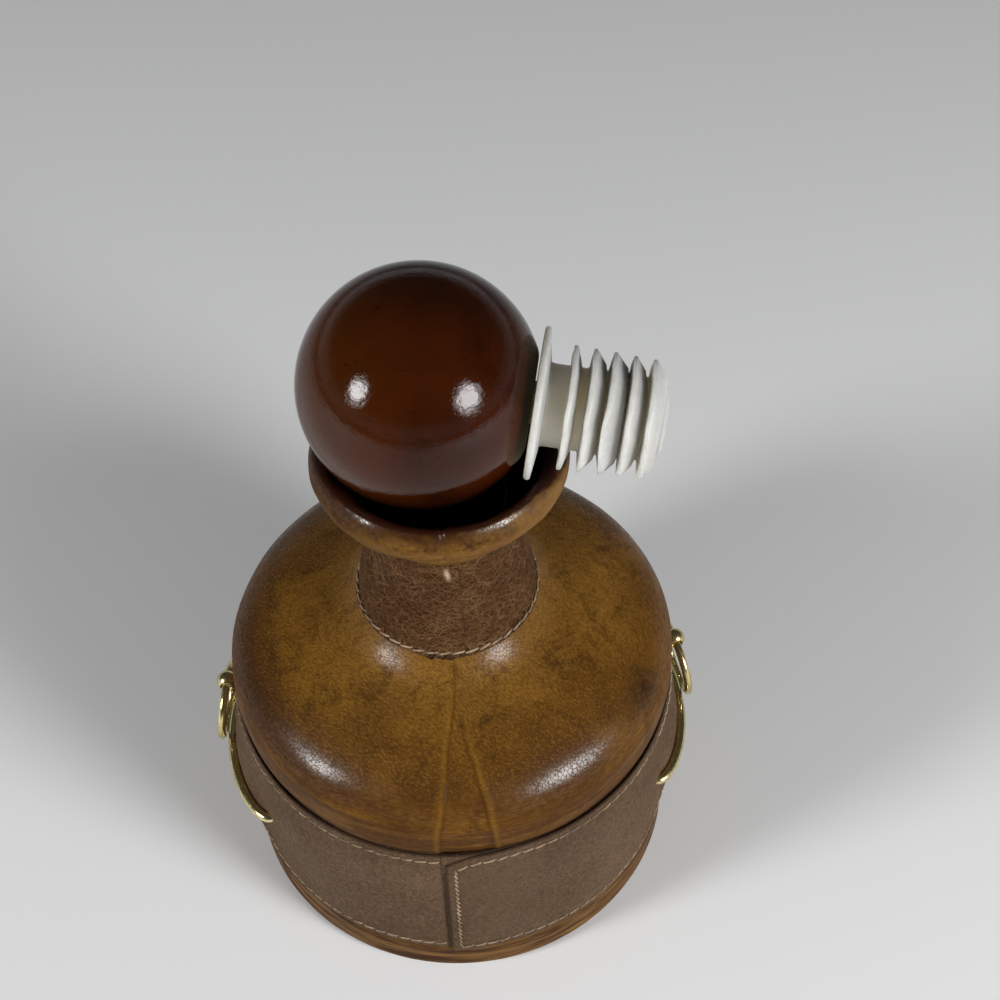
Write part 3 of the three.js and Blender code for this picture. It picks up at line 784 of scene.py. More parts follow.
def lap(turn):
    """Rise of the outer end of the strip, rounded at its edge and thinning out along the turn."""
    past = past_lap(turn)
    return LAP_RISE * (1 - np.exp(-past / LAP_EDGE)) * np.clip(1 - past / LAP_LENGTH, 0, 1)


def lowered(turn, height):
    """Height on the strip, with the top corner of its outer end pulled down."""
    drop = CORNER_DROP * np.clip(1 - past_lap(turn) / CORNER_LENGTH, 0, 1) ** 1.5
    return height - drop * soft_step(height, band_top - CORNER_FOOT, band_top - 1)


def bow_point(share):
    """Turn from the post and radius of the bow's rod, from one end at 0 to the other at 1."""
    post = POST_TURNS["left"]
    end = BODY_RADIUS + bulge(post + BOW_HALF_SPAN, BOW_HEIGHT) - BAND_THICKNESS + BOW_END_DEPTH
    middle = BODY_RADIUS + bulge(post, BOW_HEIGHT) + BOW_REACH
    out = np.abs(np.sin(math.pi * share)) ** BOW_FULLNESS
    return -BOW_HALF_SPAN * np.cos(math.pi * share), end + (middle - end) * out


rod_turn, rod_radius = bow_point(np.linspace(0, 1, 200))
face_at_rod = BODY_RADIUS + bulge(POST_TURNS["left"] + rod_turn, BOW_HEIGHT)
swell_at_rod = np.clip(rod_radius - BOW_ROD - BOW_GAP - face_at_rod, 0, BOW_SWELL)


def bow_swell(turn, height):
    """How far the leather comes out to meet a bow, from the band's foot to just above the rod."""
    rise = nearest_post(lambda apart: np.interp(apart, rod_turn, swell_at_rod, left=0, right=0), turn)
    low = soft_step(height, band_foot - 2, band_foot + 9)
    return low * soft_step(height, BOW_HEIGHT + 16, BOW_HEIGHT + 2) * rise


def brass_entries():
    """Turn and height of each place where brass goes into the leather."""
    turn, radius = bow_point(np.linspace(0, 0.5, 200))
    inside = radius < BODY_RADIUS + bulge(POST_TURNS["left"] + turn, BOW_HEIGHT)
    entry = turn[inside][-1]
    spots = []
    for post in POST_TURNS.values():
        spots += [(post + entry, BOW_HEIGHT), (post - entry, BOW_HEIGHT), (post, POST_HEIGHT)]
    return spots


print("band entries:", [(round(float(t), 1), z) for t, z in brass_entries()])


# %% Skin of the band
def band_sink(turns, rise):
    """Depth of the seams and dimples, for every row height and turn."""
    sink = SEAM_SINK * sum(bell(rise - seam, SEAM_WIDTH) for seam in (SEAM_FOOT, SEAM_TOP))
    inside_seams = (rise > SEAM_FOOT) & (rise < SEAM_TOP)
    sink = np.maximum(sink, SEAM_SINK * bell(way_round(turns, SEAM_LAP), SEAM_WIDTH) * inside_seams)
    for turn, height in brass_entries():
        sink = sink + DIMPLE * bell(np.hypot(way_round(turns, turn), rise - height), DIMPLE_WIDTH)
    left_of_lap = np.clip(-way_round(turns, LAP_TURN), -0.01, 3)
    return sink + LAP_GROOVE * bell(left_of_lap, LAP_GROOVE_WIDTH) * (left_of_lap > 0)


def strip_outline(foot, top, thickness):
    """Inset and height of points round the section of a strip, with its outer edges rounded."""
    bend = arc((0, 0), EDGE_ROUND, 0, 90, 5)
    low_edge = [(EDGE_ROUND - y, foot + EDGE_ROUND - x) for x, y in bend][::-1]
    face = [(0, z) for z in np.linspace(foot + EDGE_ROUND, top - EDGE_ROUND, 72)]
    high_edge = [(EDGE_ROUND - y, top - EDGE_ROUND + x) for x, y in bend]
    section = chain(low_edge, face, high_edge, [(thickness, top), (thickness, foot)])
    return section[:, :1], section[:, 1:]


inset, rise = strip_outline(band_foot, band_top, BAND_THICKNESS)
# Turns past the lap's edge, close together on both sides of it.
past = np.r_[0, 0.08, 0.2, 0.4, 0.7, np.arange(1.0, 12, 0.4), np.arange(12.5, 354, 1.0)]
turns = LAP_TURN + np.r_[past, np.arange(354, 360, 0.4)][None, :]
face_radius = BODY_RADIUS + bulge(turns, rise) + lap(turns) + bow_swell(turns, rise)
wave = waves(turns, (0.05, 5, 0), (0.04, 11, rise / 8))
outside = np.clip(1 - inset / EDGE_ROUND, 0, 1)
radius = face_radius - inset - outside * (band_sink(turns, rise) - wave)
from_lap = np.radians(past_lap(turns)) * BODY_RADIUS
before_lap = np.radians((LAP_TURN - turns) % 360) * BODY_RADIUS
# The lap's cut edge is darkened, and left of it, under the step, lies a painted shadow.
cut_edge_and_lap_shadow = np.maximum(bell(from_lap, 0.4), 0.6 * bell(before_lap, 1.0))
marks = {"cut_edge_and_lap_shadow": cut_edge_and_lap_shadow + 0 * radius, "lap_end": bell(from_lap, LAP_TONE_LENGTH) + 0 * radius}
band = skin("band_leather", wrapped(radius, turns, lowered(turns, rise)), closed=True, marks=marks)
# The inner end of the strip, which shows above the pulled-down corner.
inset, rise = strip_outline(band_top - UNDER_END_HEIGHT, band_top, UNDER_END_THICKNESS)
share = np.linspace(0, 1, UNDER_END_ROWS)
turns = LAP_TURN - UNDER_END_START + (UNDER_END_START + CORNER_LENGTH + 0.6) * share
sunk = UNDER_END_SINK + UNDER_END_SLOPE * share**2
rows = wrapped(BODY_RADIUS - sunk - inset, turns, rise).transpose(1, 0, 2)
under_end = mesh_object("band_under_end", rows.reshape(-1, 3), capped_faces(*rows.shape[:2]))
print("band:", len(band.data.vertices), "points")

# %% [markdown]
# The band's leather is a dull taupe with fine round grain and faint streaks from handling. It is darker
# at its cut edges and towards the lapped end, and a painted shadow runs down the left of the lap's step.
# Stain and grain come from the shared groups.

# %% Finish of the band
TAUPE_LIGHT = (0.174, 0.110, 0.064, 1)
TAUPE_DARK = (0.090, 0.054, 0.030, 1)
TAUPE_CREASE = (0.056, 0.032, 0.0175, 1)
TAUPE_SCRATCH = (0.235, 0.160, 0.105, 1)
# Dark brown for the cut edges, and for the painted shadow beside the lap.
CUT_EDGE_AND_SHADE = (0.035, 0.020, 0.012, 1)

material = new_finish("taupe_leather")
place = place_of(material)
height = split(place)["Z"]
# Darker cut edges at the top, the foot and the lap, with the painted shadow beside the lap.
edges = most(
    ranged(height, (band_top - 0.9) * MM, band_top * MM, 0.0, 0.85),
    ranged(height, (band_foot + 0.8) * MM, band_foot * MM, 0.0, 0.8),
    times(carried(material, "cut_edge_and_lap_shadow"), 0.8),
)
scratches = placed(GRAIN, place, 240.0, 0.035, 0.0)
handled = noise(place, 45.0, 3.0)
grain = placed(GRAIN, place, 1500.0, 0.22, 0.5)
color = layered(
    placed(STAIN, place, TAUPE_LIGHT, TAUPE_DARK, 30.0, 900.0, 0.62)["Color"],
    (times(scratches["Creases"], ranged(handled, 0.45, 0.65, 0.0, 0.5)), TAUPE_SCRATCH),
    (times(grain["Creases"], 0.6), TAUPE_CREASE),
    (times(carried(material, "lap_end"), 0.3), TAUPE_CREASE),
    (edges, CUT_EDGE_AND_SHADE),
)
inputs = {"Base Color": color, "Roughness": ranged(handled, 0.3, 0.7, 0.7, 0.56), "IOR": 1.45}
inputs |= {"Specular IOR Level": 0.06, "Normal": bumped(grain["Height"], 0.75, 0.00018)}
TAUPE = shaded(material, inputs)
dress(band, "decanter", "brown_leather", TAUPE, "body_band")
dress(under_end, "decanter", "brown_leather", TAUPE)

# %% [markdown]
# ## Stitches
# A saddle stitch shows as a row of short thread lengths, each a little slanted, that dive into the
# leather at both ends. Painting them would look flat from the side, so each one is a small tube bent
# over the surface. One function makes a row from places on the leather, with the way along the seam and
# the way out.

# %% Rows of stitches
STITCH_PITCH, STITCH_SLANT = 3.4, 9.0
LAP_PITCH, LAP_SLANT = 2.2, 22.0
THREAD = 0.3
STITCH_LIFT = 0.16
STITCH_DIVE = 0.24
STITCH_RINGS, THREAD_SIDES = 7, 6


def stitch_points(spot, along, out, slant, length):
    """Rings of points of one stitch."""
    way = along * math.cos(slant) + np.cross(out, along) * math.sin(slant)
    share = np.linspace(-1, 1, STITCH_RINGS)
    lift = STITCH_LIFT - (STITCH_LIFT + STITCH_DIVE) * share**6
    middle = spot + np.outer(share, way) * length / 2 + np.outer(lift, out)
    turn = np.radians(evenly(THREAD_SIDES))
    ring = np.outer(np.cos(turn), out) * 0.8 + np.outer(np.sin(turn), np.cross(out, way))
    thin = THREAD * (1 - 0.3 * share**4)
    return middle[:, None, :] + ring[None, :, :] * thin[:, None, None]


def stitch_row(name, places, pitch, slant=STITCH_SLANT):
    """A row of stitches, none quite like the next."""
    verts, faces = [], []
    for index, (spot, along, out) in enumerate(places):
        lean = math.radians(slant + 3 * math.sin(2.4 * index) + 2 * math.sin(5.1 * index))
        length = pitch * (1.02 + 0.04 * math.sin(3.7 * index))
        faces += capped_faces(STITCH_RINGS, THREAD_SIDES, len(verts))
        verts += stitch_points(spot, along, out, lean, length).reshape(-1, 3).tolist()
    return mesh_object(name, verts, faces)


def seam_spot(turn, height):
    """A place on the band's face, and the way out of it."""
    out = wrapped(1, turn, 0)
    face = BODY_RADIUS + bulge(turn, height) + bow_swell(turn, height) + lap(turn) - SEAM_SINK
    return out * float(face) + (0, 0, float(lowered(turn, height))), out


def round_places(height):
    """Places along a seam round the body, from the lap seam to the lap's edge."""
    span = LAP_TURN - SEAM_MARGIN + 360 - SEAM_LAP
    count = round(math.radians(span) * BODY_RADIUS / STITCH_PITCH)
    half = span / count / 2
    for turn in SEAM_LAP + (2 * np.arange(count) + 1) * half:
        spot, out = seam_spot(turn, height)
        along = seam_spot(turn + half, height)[0] - seam_spot(turn - half, height)[0]
        yield spot, along / np.linalg.norm(along), out


def lap_places():
    up = np.array([0, 0, 1.0])
    top = float(lowered(SEAM_LAP, SEAM_TOP))
    count = round((top - SEAM_FOOT) / LAP_PITCH)
    for height in SEAM_FOOT + (np.arange(count) + 0.5) * (top - SEAM_FOOT) / count:
        spot, out = seam_spot(SEAM_LAP, height)
        yield spot * (1, 1, 0) + height * up, up, out


stitch_rows = [
    stitch_row("stitches_foot", round_places(SEAM_FOOT), STITCH_PITCH),
    stitch_row("stitches_top", round_places(SEAM_TOP), STITCH_PITCH),
    stitch_row("stitches_lap", lap_places(), LAP_PITCH, LAP_SLANT),
]
print("band stitches:", [len(row.data.polygons) for row in stitch_rows])

# %% [markdown]
# The thread is waxed linen: pale tan, a little darker where it has picked up dirt, with a fine twist.

# %% Finish of the thread
THREAD_LIGHT = (0.35, 0.25, 0.155, 1)
THREAD_DIRTY = (0.135, 0.085, 0.048, 1)

material = new_finish("waxed_thread")
place = place_of(material)
color = placed(STAIN, place, THREAD_LIGHT, THREAD_DIRTY, 90.0, 700.0, 0.5)["Color"]
twist = bumped(noise(place, 3200.0, 1.0), 0.5, 0.0001)
THREAD_FINISH = shaded(material, {"Base Color": color, "Roughness": 0.7, "Normal": twist})
for row in stitch_rows:
    dress(row, "decanter", "brown_leather", THREAD_FINISH)

# %% [markdown]
# ## Neck sleeve
# The neck has a tapered sleeve of dark leather that was wetted and shrunk on, so it is covered in a net
# of pale cracks. Its foot lies on the dome and is sewn close to the edge; at the front its ends overlap,
# with a low step up the neck and a tongue of spare leather at the foot.

# %% Outline and skin of the sleeve
SLEEVE_THICKNESS = 1.6
SLEEVE_TAPER, TAPER_FOOT_REACH, TAPER_TOP_REACH = 23.3, 8.7, 10.9
SLEEVE_ROUND = 0.5
SKIRT_THICKNESS = 1.3
SKIRT_FIRST = 86
CLEAR = 0.3
SLEEVE_STEP_TURN = -79.0
SLEEVE_STEP = 0.4
SLEEVE_STEP_LENGTH = 40.0
SLEEVE_STEP_EDGE = 0.5
TONGUE_TURN = -93.0
TONGUE_HALF = 13.0
TONGUE_REACH = 0.55

fillet_fine = curve(dome_fillet[0], fillet_bend, dome_fillet[-1], steps=100)
skirt_over = offset(fillet_fine, -CLEAR - SKIRT_THICKNESS)[SKIRT_FIRST::2]
skirt_under = offset(fillet_fine, -CLEAR)[SKIRT_FIRST::2]
skirt_edge = skirt_under[0]
skirt_lip = [
    skirt_edge + (0, 0.1),
    skirt_edge + (0.3, 0.4),
    (skirt_edge + skirt_over[0]) / 2 + (0.3, 0.2),
]
skirt_root = skirt_over[-1]
taper_top = (NECK_RADIUS, skirt_root[1] + SLEEVE_TAPER)
taper_bend = (NECK_RADIUS, skirt_root[1] + SLEEVE_TAPER - TAPER_TOP_REACH)
sleeve_inside = NECK_RADIUS - SLEEVE_THICKNESS
sleeve_outside = chain(
    skirt_lip,
    skirt_over,
    curve(skirt_root, skirt_root + (0, TAPER_FOOT_REACH), taper_bend, taper_top, steps=26),
    curve(taper_top, (NECK_RADIUS, sleeve_top - SLEEVE_ROUND), steps=8),
    arc((NECK_RADIUS - SLEEVE_ROUND, sleeve_top - SLEEVE_ROUND), SLEEVE_ROUND, 0, 90, 4),
)
sleeve_outline = chain(
    sleeve_outside,
    [(sleeve_inside, sleeve_top), (sleeve_inside, skirt_under[-1][1] + SLEEVE_THICKNESS)],
    skirt_under[-1:],
)


def sleeve_step(turns):
    """Rise of the sleeve's outer end, which thins out round the turn."""
    past = (np.asarray(turns) - SLEEVE_STEP_TURN) % 360
    edge = 1 - np.exp(-past / SLEEVE_STEP_EDGE)
    return SLEEVE_STEP * edge * np.clip(1 - past / SLEEVE_STEP_LENGTH, 0, 1)


# Turns past the step, close together at its edge and on the tongue.
past = np.r_[0, 0.25, 0.6, 1.2, 2, np.arange(3, 325, 1.5), np.arange(325, 360, 0.6)]
turns = SLEEVE_STEP_TURN + past
rows = turned(sleeve_outline, turns)
out = out_of(rows)
row_number = np.arange(len(sleeve_outline))[:, None]
outer = row_number < len(sleeve_outside)
rows += out * (outer * sleeve_step(turns))[:, :, None]
wave = waves(turns, (0.10, 4, 1), (0.07, 9, rows[:, :, 2] / 3))
rows += out * (outer * wave * np.clip((rows[:, :, 2] - dome_top) / 6, 0, 1))[:, :, None]
ragged = 1 + waves(turns, (0.35, 31, 0), (0.25, 57, 1))
tongue = TONGUE_REACH * np.exp(-((turn_apart(turns, TONGUE_TURN) / TONGUE_HALF) ** 4)) * ragged
rows[: len(skirt_lip) + 1] += wrapped(tongue, turns, -0.75 * tongue)
near_edge = np.clip(1.2 - row_number / (len(skirt_lip) + 3), 0, 1)
# The tongue's edge is painted near black: its rough edge, and painted shade under it.
marks = {
    "frayed_edge_and_shade": near_edge * tongue / TONGUE_REACH,
    "around": np.radians(past) * NECK_RADIUS * MM + 0 * near_edge,
}
sleeve = skin("neck_leather", rows, closed=True, marks=marks)
print("sleeve:", len(sleeve_outline), "rows")

# %% [markdown]
# The cracks are the creases of the grain group, drawn out on two slants over the unrolled sleeve, fine
# ones under a few long ones. The mesh carries the way round as a mark, because unrolling needs it.

# %% Finish of the sleeve
SLEEVE_LIGHT = (0.050, 0.0205, 0.0065, 1)
SLEEVE_DARK = (0.023, 0.0086, 0.0030, 1)
SLEEVE_EDGE_AND_SHADE = (0.010, 0.005, 0.003, 1)
CRACK_PALE = (0.205, 0.110, 0.050, 1)
SCUFF_PALE = (0.52, 0.38, 0.25, 1)
CRACK_TURNS = (38.0, -30.0)
CRACK_SCALES = (0.42, 1.0, 1.0)
SCUFF_PLACE = (-87.2, NECK_RADIUS, 128.6)
SCUFF_WAY = Vector((0.10, 0, -1)).normalized()

material = new_finish("crackled_leather")
place = place_of(material)
stain = placed(STAIN, place, SLEEVE_LIGHT, SLEEVE_DARK, 70.0, 800.0, 0.5)
flat = {"X": carried(material, "around"), "Y": split(place)["Z"]}
unrolled = add(material.node_tree, "CombineXYZ", flat).outputs[0]
slants = [stretched(unrolled, turn, CRACK_SCALES) for turn in CRACK_TURNS]
fine = [placed(GRAIN, slant, 1300.0, 0.07, 0.35) for slant in slants]
coarse = [placed(GRAIN, slant, 430.0, 0.03, 0.0)["Creases"] for slant in slants]
net = most(fine[0]["Creases"], times(fine[1]["Creases"], 0.8))
lines = most(times(net, 0.75), *coarse)
handled = noise(place, 110.0, 3.0)
color = layered(
    stain["Color"],
    (times(lines, ranged(handled, 0.3, 0.65, 0.45, 0.85)), CRACK_PALE),
    # near black on the tongue's edge: rough edge and painted shade
    (times(carried(material, "frayed_edge_and_shade"), 0.8), SLEEVE_EDGE_AND_SHADE),
    (placed(MARK, place, on_body(*SCUFF_PLACE), SCUFF_WAY, 3.4 * MM, 1.15 * MM)["Mask"], SCUFF_PALE),
)
relief = calc("ADD", times(lines, -1.0), times(fine[0]["Height"], 0.4))
inputs = {"Base Color": color, "Roughness": ranged(stain["Mask"], 0.0, 1.0, 0.58, 0.68), "IOR": 1.45}
shaded(material, inputs | {"Specular IOR Level": 0.04, "Normal": bumped(relief, 0.5, 0.00014)})
dress(sleeve, "decanter", "dark_leather", material, "neck_sleeve")

# %% Stitches round the sleeve's foot
NECK_STITCH_PITCH = 3.3
neck_seam = skirt_over[3]
seam_rise = skirt_over[4] - skirt_over[2]
seam_rise /= np.linalg.norm(seam_rise)


def neck_places():
    for turn in evenly(round(2 * math.pi * neck_seam[0] / NECK_STITCH_PITCH)):
        radial = wrapped(1, turn, 0)
        out = radial * seam_rise[1] + (0, 0, -seam_rise[0])
        spot = radial * neck_seam[0] + (0, 0, neck_seam[1]) + out * float(sleeve_step(turn))
        yield spot, np.array([-radial[1], radial[0], 0]), out


neck_stitches = stitch_row("stitches_neck", neck_places(), NECK_STITCH_PITCH)
dress(neck_stitches, "decanter", "dark_leather", THREAD_FINISH)

# %% [markdown]
# ## Plinth, felt and glass
# The bottle stands on a turned wooden plinth with a felt pad under it. The plinth's edge shows as a tan
# strip with level streaks, where the turning tool ran along the grain. The glass shows only at its lip,
# deep in the mouth.

# %% Plinth
PLINTH_RADIUS = BODY_RADIUS - 0.2
PLINTH_EDGE = 0.7
FOOT_ROUND = 2.6
SEAT_DEPTH = 2
WOOD_LIGHT = (0.168, 0.080, 0.020, 1)
WOOD_DARK = (0.036, 0.0130, 0.0032, 1)
felt_low, felt_high = box_mm("felt_pad")
felt_radius, felt_foot, felt_top = felt_high[0], felt_low[2], felt_high[2]
recess_radius, recess_top = felt_radius + CLEAR, felt_top + CLEAR
seat_radius, seat = BODY_RADIUS - BAND_THICKNESS - 1.0, plinth_top - SEAT_DEPTH
plinth_outline = chain(
    [(0.0, recess_top), (recess_radius, recess_top), (recess_radius, plinth_foot)],
    arc((PLINTH_RADIUS - FOOT_ROUND, plinth_foot + FOOT_ROUND), FOOT_ROUND, -90, 0, 8),
    curve((PLINTH_RADIUS, plinth_foot + FOOT_ROUND), (PLINTH_RADIUS, plinth_top - PLINTH_EDGE), steps=6),
    arc((PLINTH_RADIUS - PLINTH_EDGE, plinth_top - PLINTH_EDGE), PLINTH_EDGE, 0, 90, 5),
    [(seat_radius, plinth_top), (seat_radius, seat), (0.0, seat)],
)
plinth = skin("plinth_wood", turned(plinth_outline, evenly(200)))
material = new_finish("plinth_wood")
mapping = {"Vector": place_of(material), "Scale": (0.09, 0.09, 1.0)}
level = add(material.node_tree, "Mapping", mapping).outputs[0]
stain = placed(STAIN, level, WOOD_LIGHT, WOOD_DARK, 520.0, 1500.0, 0.4)
inputs = {"Base Color": stain["Color"], "Roughness": ranged(stain["Mask"], 0.0, 1.0, 0.55, 0.42)}
shaded(material, inputs | {"Specular IOR Level": 0.06, "Normal": bumped(stain["Mask"], 0.25, 0.00015)})
dress(plinth, "decanter", "plinth_wood", material, "base_plinth")

# %% Felt pad
FELT_ROUND = 0.6
FELT_LIGHT = (0.022, 0.034, 0.020, 1)
FELT_DARK = (0.010, 0.016, 0.010, 1)
felt_outline = chain(
    [(0.0, felt_foot), (felt_radius - FELT_ROUND, felt_foot)],
    arc((felt_radius - FELT_ROUND, felt_foot + FELT_ROUND), FELT_ROUND, -90, 0, 4),
    [(felt_radius, felt_top), (0.0, felt_top)],
)
felt = skin("felt_base", turned(felt_outline, evenly(120)))
material = new_finish("green_felt")
place = place_of(material)
color = placed(STAIN, place, FELT_LIGHT, FELT_DARK, 90.0, 900.0)["Color"]
fibres = bumped(noise(place, 1800.0, 4.0, Distortion=2.0), 0.7, 0.0003)
inputs = {"Base Color": color, "Roughness": 0.95, "Sheen Weight": 0.3, "Normal": fibres}
shaded(material, inputs)
dress(felt, "decanter", "felt", material, "felt_pad")

# %% Glass bottle
GLASS_WALL = 3.5
GLASS_COLOR = (0.80, 0.90, 0.84, 1)
# Corners of the heel, outside and inside, from the wall's radius and the glass's foot.
HEEL = np.array([(-4, 0), (-1, 1.5)])
HOLLOW_HEEL = np.array([(0, 11), (-2, 7), (-6, 5)])
lip_round = GLASS_WALL / 2
glass_radius = BODY_RADIUS - BAND_THICKNESS - CLEAR
hollow_radius = glass_radius - GLASS_WALL
neck_glass = sleeve_inside - CLEAR
bore = neck_glass - GLASS_WALL
neck_foot = dome_top + SLEEVE_THICKNESS
glass_outline = chain(
    [(0.0, glass_foot)],
    HEEL + (glass_radius, glass_foot),
    [(glass_radius - 1, band_foot), (glass_radius, band_foot + 3)],
    offset(dome_top_line, LEATHER + CLEAR)[::3],
    [(neck_glass, neck_foot)],
    arc((neck_glass - lip_round, lip_top - lip_round), lip_round, 0, 180, 12),
    [(bore, neck_foot)],
    offset(dome_top_line, LEATHER + CLEAR + GLASS_WALL)[::3][::-1],
    HOLLOW_HEEL + (hollow_radius, glass_foot),
    [(0.0, glass_foot + HOLLOW_HEEL[-1][1])],
)
bottle = skin("bottle_glass", turned(glass_outline, evenly(120)))
material = new_finish("bottle_glass")
ripple = bumped(noise(place_of(material), 60.0, 2.0), 0.1, 0.0005)
inputs = {"Base Color": GLASS_COLOR, "Roughness": 0.03, "IOR": 1.5, "Transmission Weight": 1.0}
shaded(material, inputs | {"Normal": ripple})
dress(bottle, "decanter", "glass", material, "glass_bottle")

# %% [markdown]
# ## Brass
# On each side a bent brass rod stands off the leather, and above it a ball-headed post carries a loose
# ring in a cross hole. The rod follows a half ellipse wrapped round the body. Each ring is built from
# its hinge in the frame. The brass is polished, with a little tarnish that the stain group lays on.

# %% Brass finish
BRASS_LIGHT = (0.86, 0.74, 0.38, 1)
BRASS_DARK = (0.56, 0.455, 0.21, 1)

material = new_finish("polished_brass")
place = place_of(material)
stain = placed(STAIN, place, BRASS_LIGHT, BRASS_DARK, 160.0, 900.0, 0.45)
scratch = bumped(noise(place, 1500.0, 3.0), 0.12, 0.00008)
tarnish = ranged(stain["Mask"], 0.0, 1.0, 0.3, 0.15)
inputs = {"Base Color": stain["Color"], "Metallic": 1.0, "Roughness": tarnish, "Normal": scratch}
BRASS = shaded(material, inputs)
print("finish:", BRASS.name)

# %% Bows
BOW_STEPS = 73
ROD_SIDES = 20


def tube(name, path, radius, closed=False):
    """A round rod along a path of points, kept from twisting by the path's own plane."""
    ahead = np.roll(path, -1, axis=0) - np.roll(path, 1, axis=0) if closed else np.gradient(path, axis=0)
    ahead /= np.linalg.norm(ahead, axis=1)[:, None]
    flat = np.linalg.svd(path - path.mean(0))[2][2]
    side = np.cross(ahead, flat)
    turn = np.radians(evenly(ROD_SIDES))[None, :, None]
    rows = path[:, None, :] + radius * (np.cos(turn) * side[:, None, :] + np.sin(turn) * flat)
    if closed:
        return skin(name, rows, closed=True)
    return mesh_object(name, rows.reshape(-1, 3), capped_faces(len(path), ROD_SIDES))


for side_name, post_turn in POST_TURNS.items():
    bow_turn, bow_radius = bow_point(np.linspace(0, 1, BOW_STEPS))
    bow_path = wrapped(bow_radius, post_turn + bow_turn, BOW_HEIGHT)
    bow = tube(f"{side_name}_bow_rod", bow_path, BOW_ROD)
    dress(bow, "decanter", "brass", BRASS, f"{side_name}_bow")

# %% Posts and rings
POST_BALL = 2.8
POST_HOLE = 1.65
POST_SHANK = 1.3
SHANK_START = 2.1
SHANK_DEPTH = 1.5
RING_RADIUS = 10.0
RING_WIRE = 1.1


def hinge_of(side_name):
    joint = next(j for j in frame["joints"] if j["name"] == f"{side_name}_ring_swing")
    return np.array(joint["pos_m"]) / MM, np.array(joint["axis"])


def joined(first, second):
    """Two solids made one."""
    union = first.modifiers.new("union", "BOOLEAN")
    union.operation, union.solver, union.object = "UNION", "EXACT", second
    done = bpy.data.meshes.new_from_object(first.evaluated_get(bpy.context.evaluated_depsgraph_get()))
    first.modifiers.clear()
    first.data = done
    bpy.data.objects.remove(second)
    done.shade_smooth()
    return first


def facing(rows, origin, axis, toward):
    """Rows turned about +Z put at an origin with +Z along an axis and +X toward a direction."""
    axis = axis / np.linalg.norm(axis)
    toward = toward - axis * (toward @ axis)
    toward = toward / np.linalg.norm(toward)
    return origin + rows @ np.array([toward, np.cross(axis, toward), axis])


def make_post(side_name):
    origin, axis = hinge_of(side_name)
    inward = -origin * (1, 1, 0)
    open_half = math.degrees(math.acos(POST_HOLE / POST_BALL))
    bead = chain(arc((0, 0), POST_BALL, -open_half, open_half, 20), [(POST_HOLE, 0.0)])
    bead_rows = facing(turned(bead, evenly(40)), origin, axis, inward)
    reach = np.hypot(*origin[:2]) - BODY_RADIUS + SHANK_DEPTH
    shank = [(0.0, SHANK_START), (POST_SHANK, SHANK_START), (POST_SHANK, reach), (0.0, reach)]
    shank_rows = facing(turned(np.array(shank), evenly(24)), origin, inward, axis)
    head = skin(f"{side_name}_post_head", bead_rows, closed=True)
    post = joined(head, skin(f"{side_name}_post_shank", shank_rows))
    dress(post, "decanter", "brass", BRASS, f"{side_name}_post")


def make_ring(side_name):
    origin, axis = hinge_of(side_name)
    centre = sum(box_mm(f"{side_name}_ring")) / 2
    up = (origin - centre) / np.linalg.norm(origin - centre)
    turn = np.radians(evenly(96))[:, None]
    path = centre + RING_RADIUS * (np.cos(turn) * up + np.sin(turn) * axis)
    ring = tube(f"{side_name}_ring_wire", path, RING_WIRE, closed=True)
    dress(ring, f"{side_name}_ring", "brass", BRASS, f"{side_name}_ring")


for side_name in POST_TURNS:
    make_post(side_name)
    make_ring(side_name)
for node_name, node in frame["nodes"].items():
    if "_burr_" in node_name:
        node.data.materials.clear()
        node.data.materials.append(BRASS)

# %% [markdown]
# ## Stopper
# The stopper is a turned ball, stained dark brown under thick lacquer, with a white moulded plug. Both
# are lathe work about the plug's own axis, which is read off the solids: the ball's centre by fitting a
# sphere to its points, and the axis from there to the middle of the plug.

# %% Where the stopper lies
BALL_RADIUS = 28.2
BALL_FLAT = 25.9
PLUG_TOP = np.array([0.0, 0.0, 1.0])


def points_of(node):
    return np.array([v.co for v in frame["nodes"][node].data.vertices]) / MM


def sphere_centre(points):
    low, high = points.min(0), points.max(0)
    guess = np.array([low[0] + BALL_RADIUS, (low[1] + high[1]) / 2, high[2] - BALL_RADIUS])
    shell_points = points[np.linalg.norm(points - guess, axis=1) > BALL_FLAT + 1.5]
    table = np.column_stack([2 * shell_points, np.ones(len(shell_points))])
    return np.linalg.lstsq(table, (shell_points**2).sum(1), rcond=None)[0][:3]


def stopper_skin(name, rows):
    return skin(name, facing(rows, ball_centre, plug_way, PLUG_TOP))


ball_centre = sphere_centre(points_of("stopper_ball"))
plug_way = points_of("stopper_plug").mean(0) - ball_centre
plug_way /= np.linalg.norm(plug_way)
print("ball at", ball_centre.round(2), "plug along", plug_way.round(3))

# %% Ball
FLAT_ROUND = 1.2
FLAT_START = 2.5
SOCKET_RADIUS, SOCKET_DEPTH = 5.3, 12
LACQUER_GLOW = (0.034, 0.0062, 0.0007, 1)
LACQUER_DARK = (0.016, 0.0032, 0.0004, 1)
LACQUER_PAINTED_GLOW = (0.062, 0.0150, 0.0006, 1)
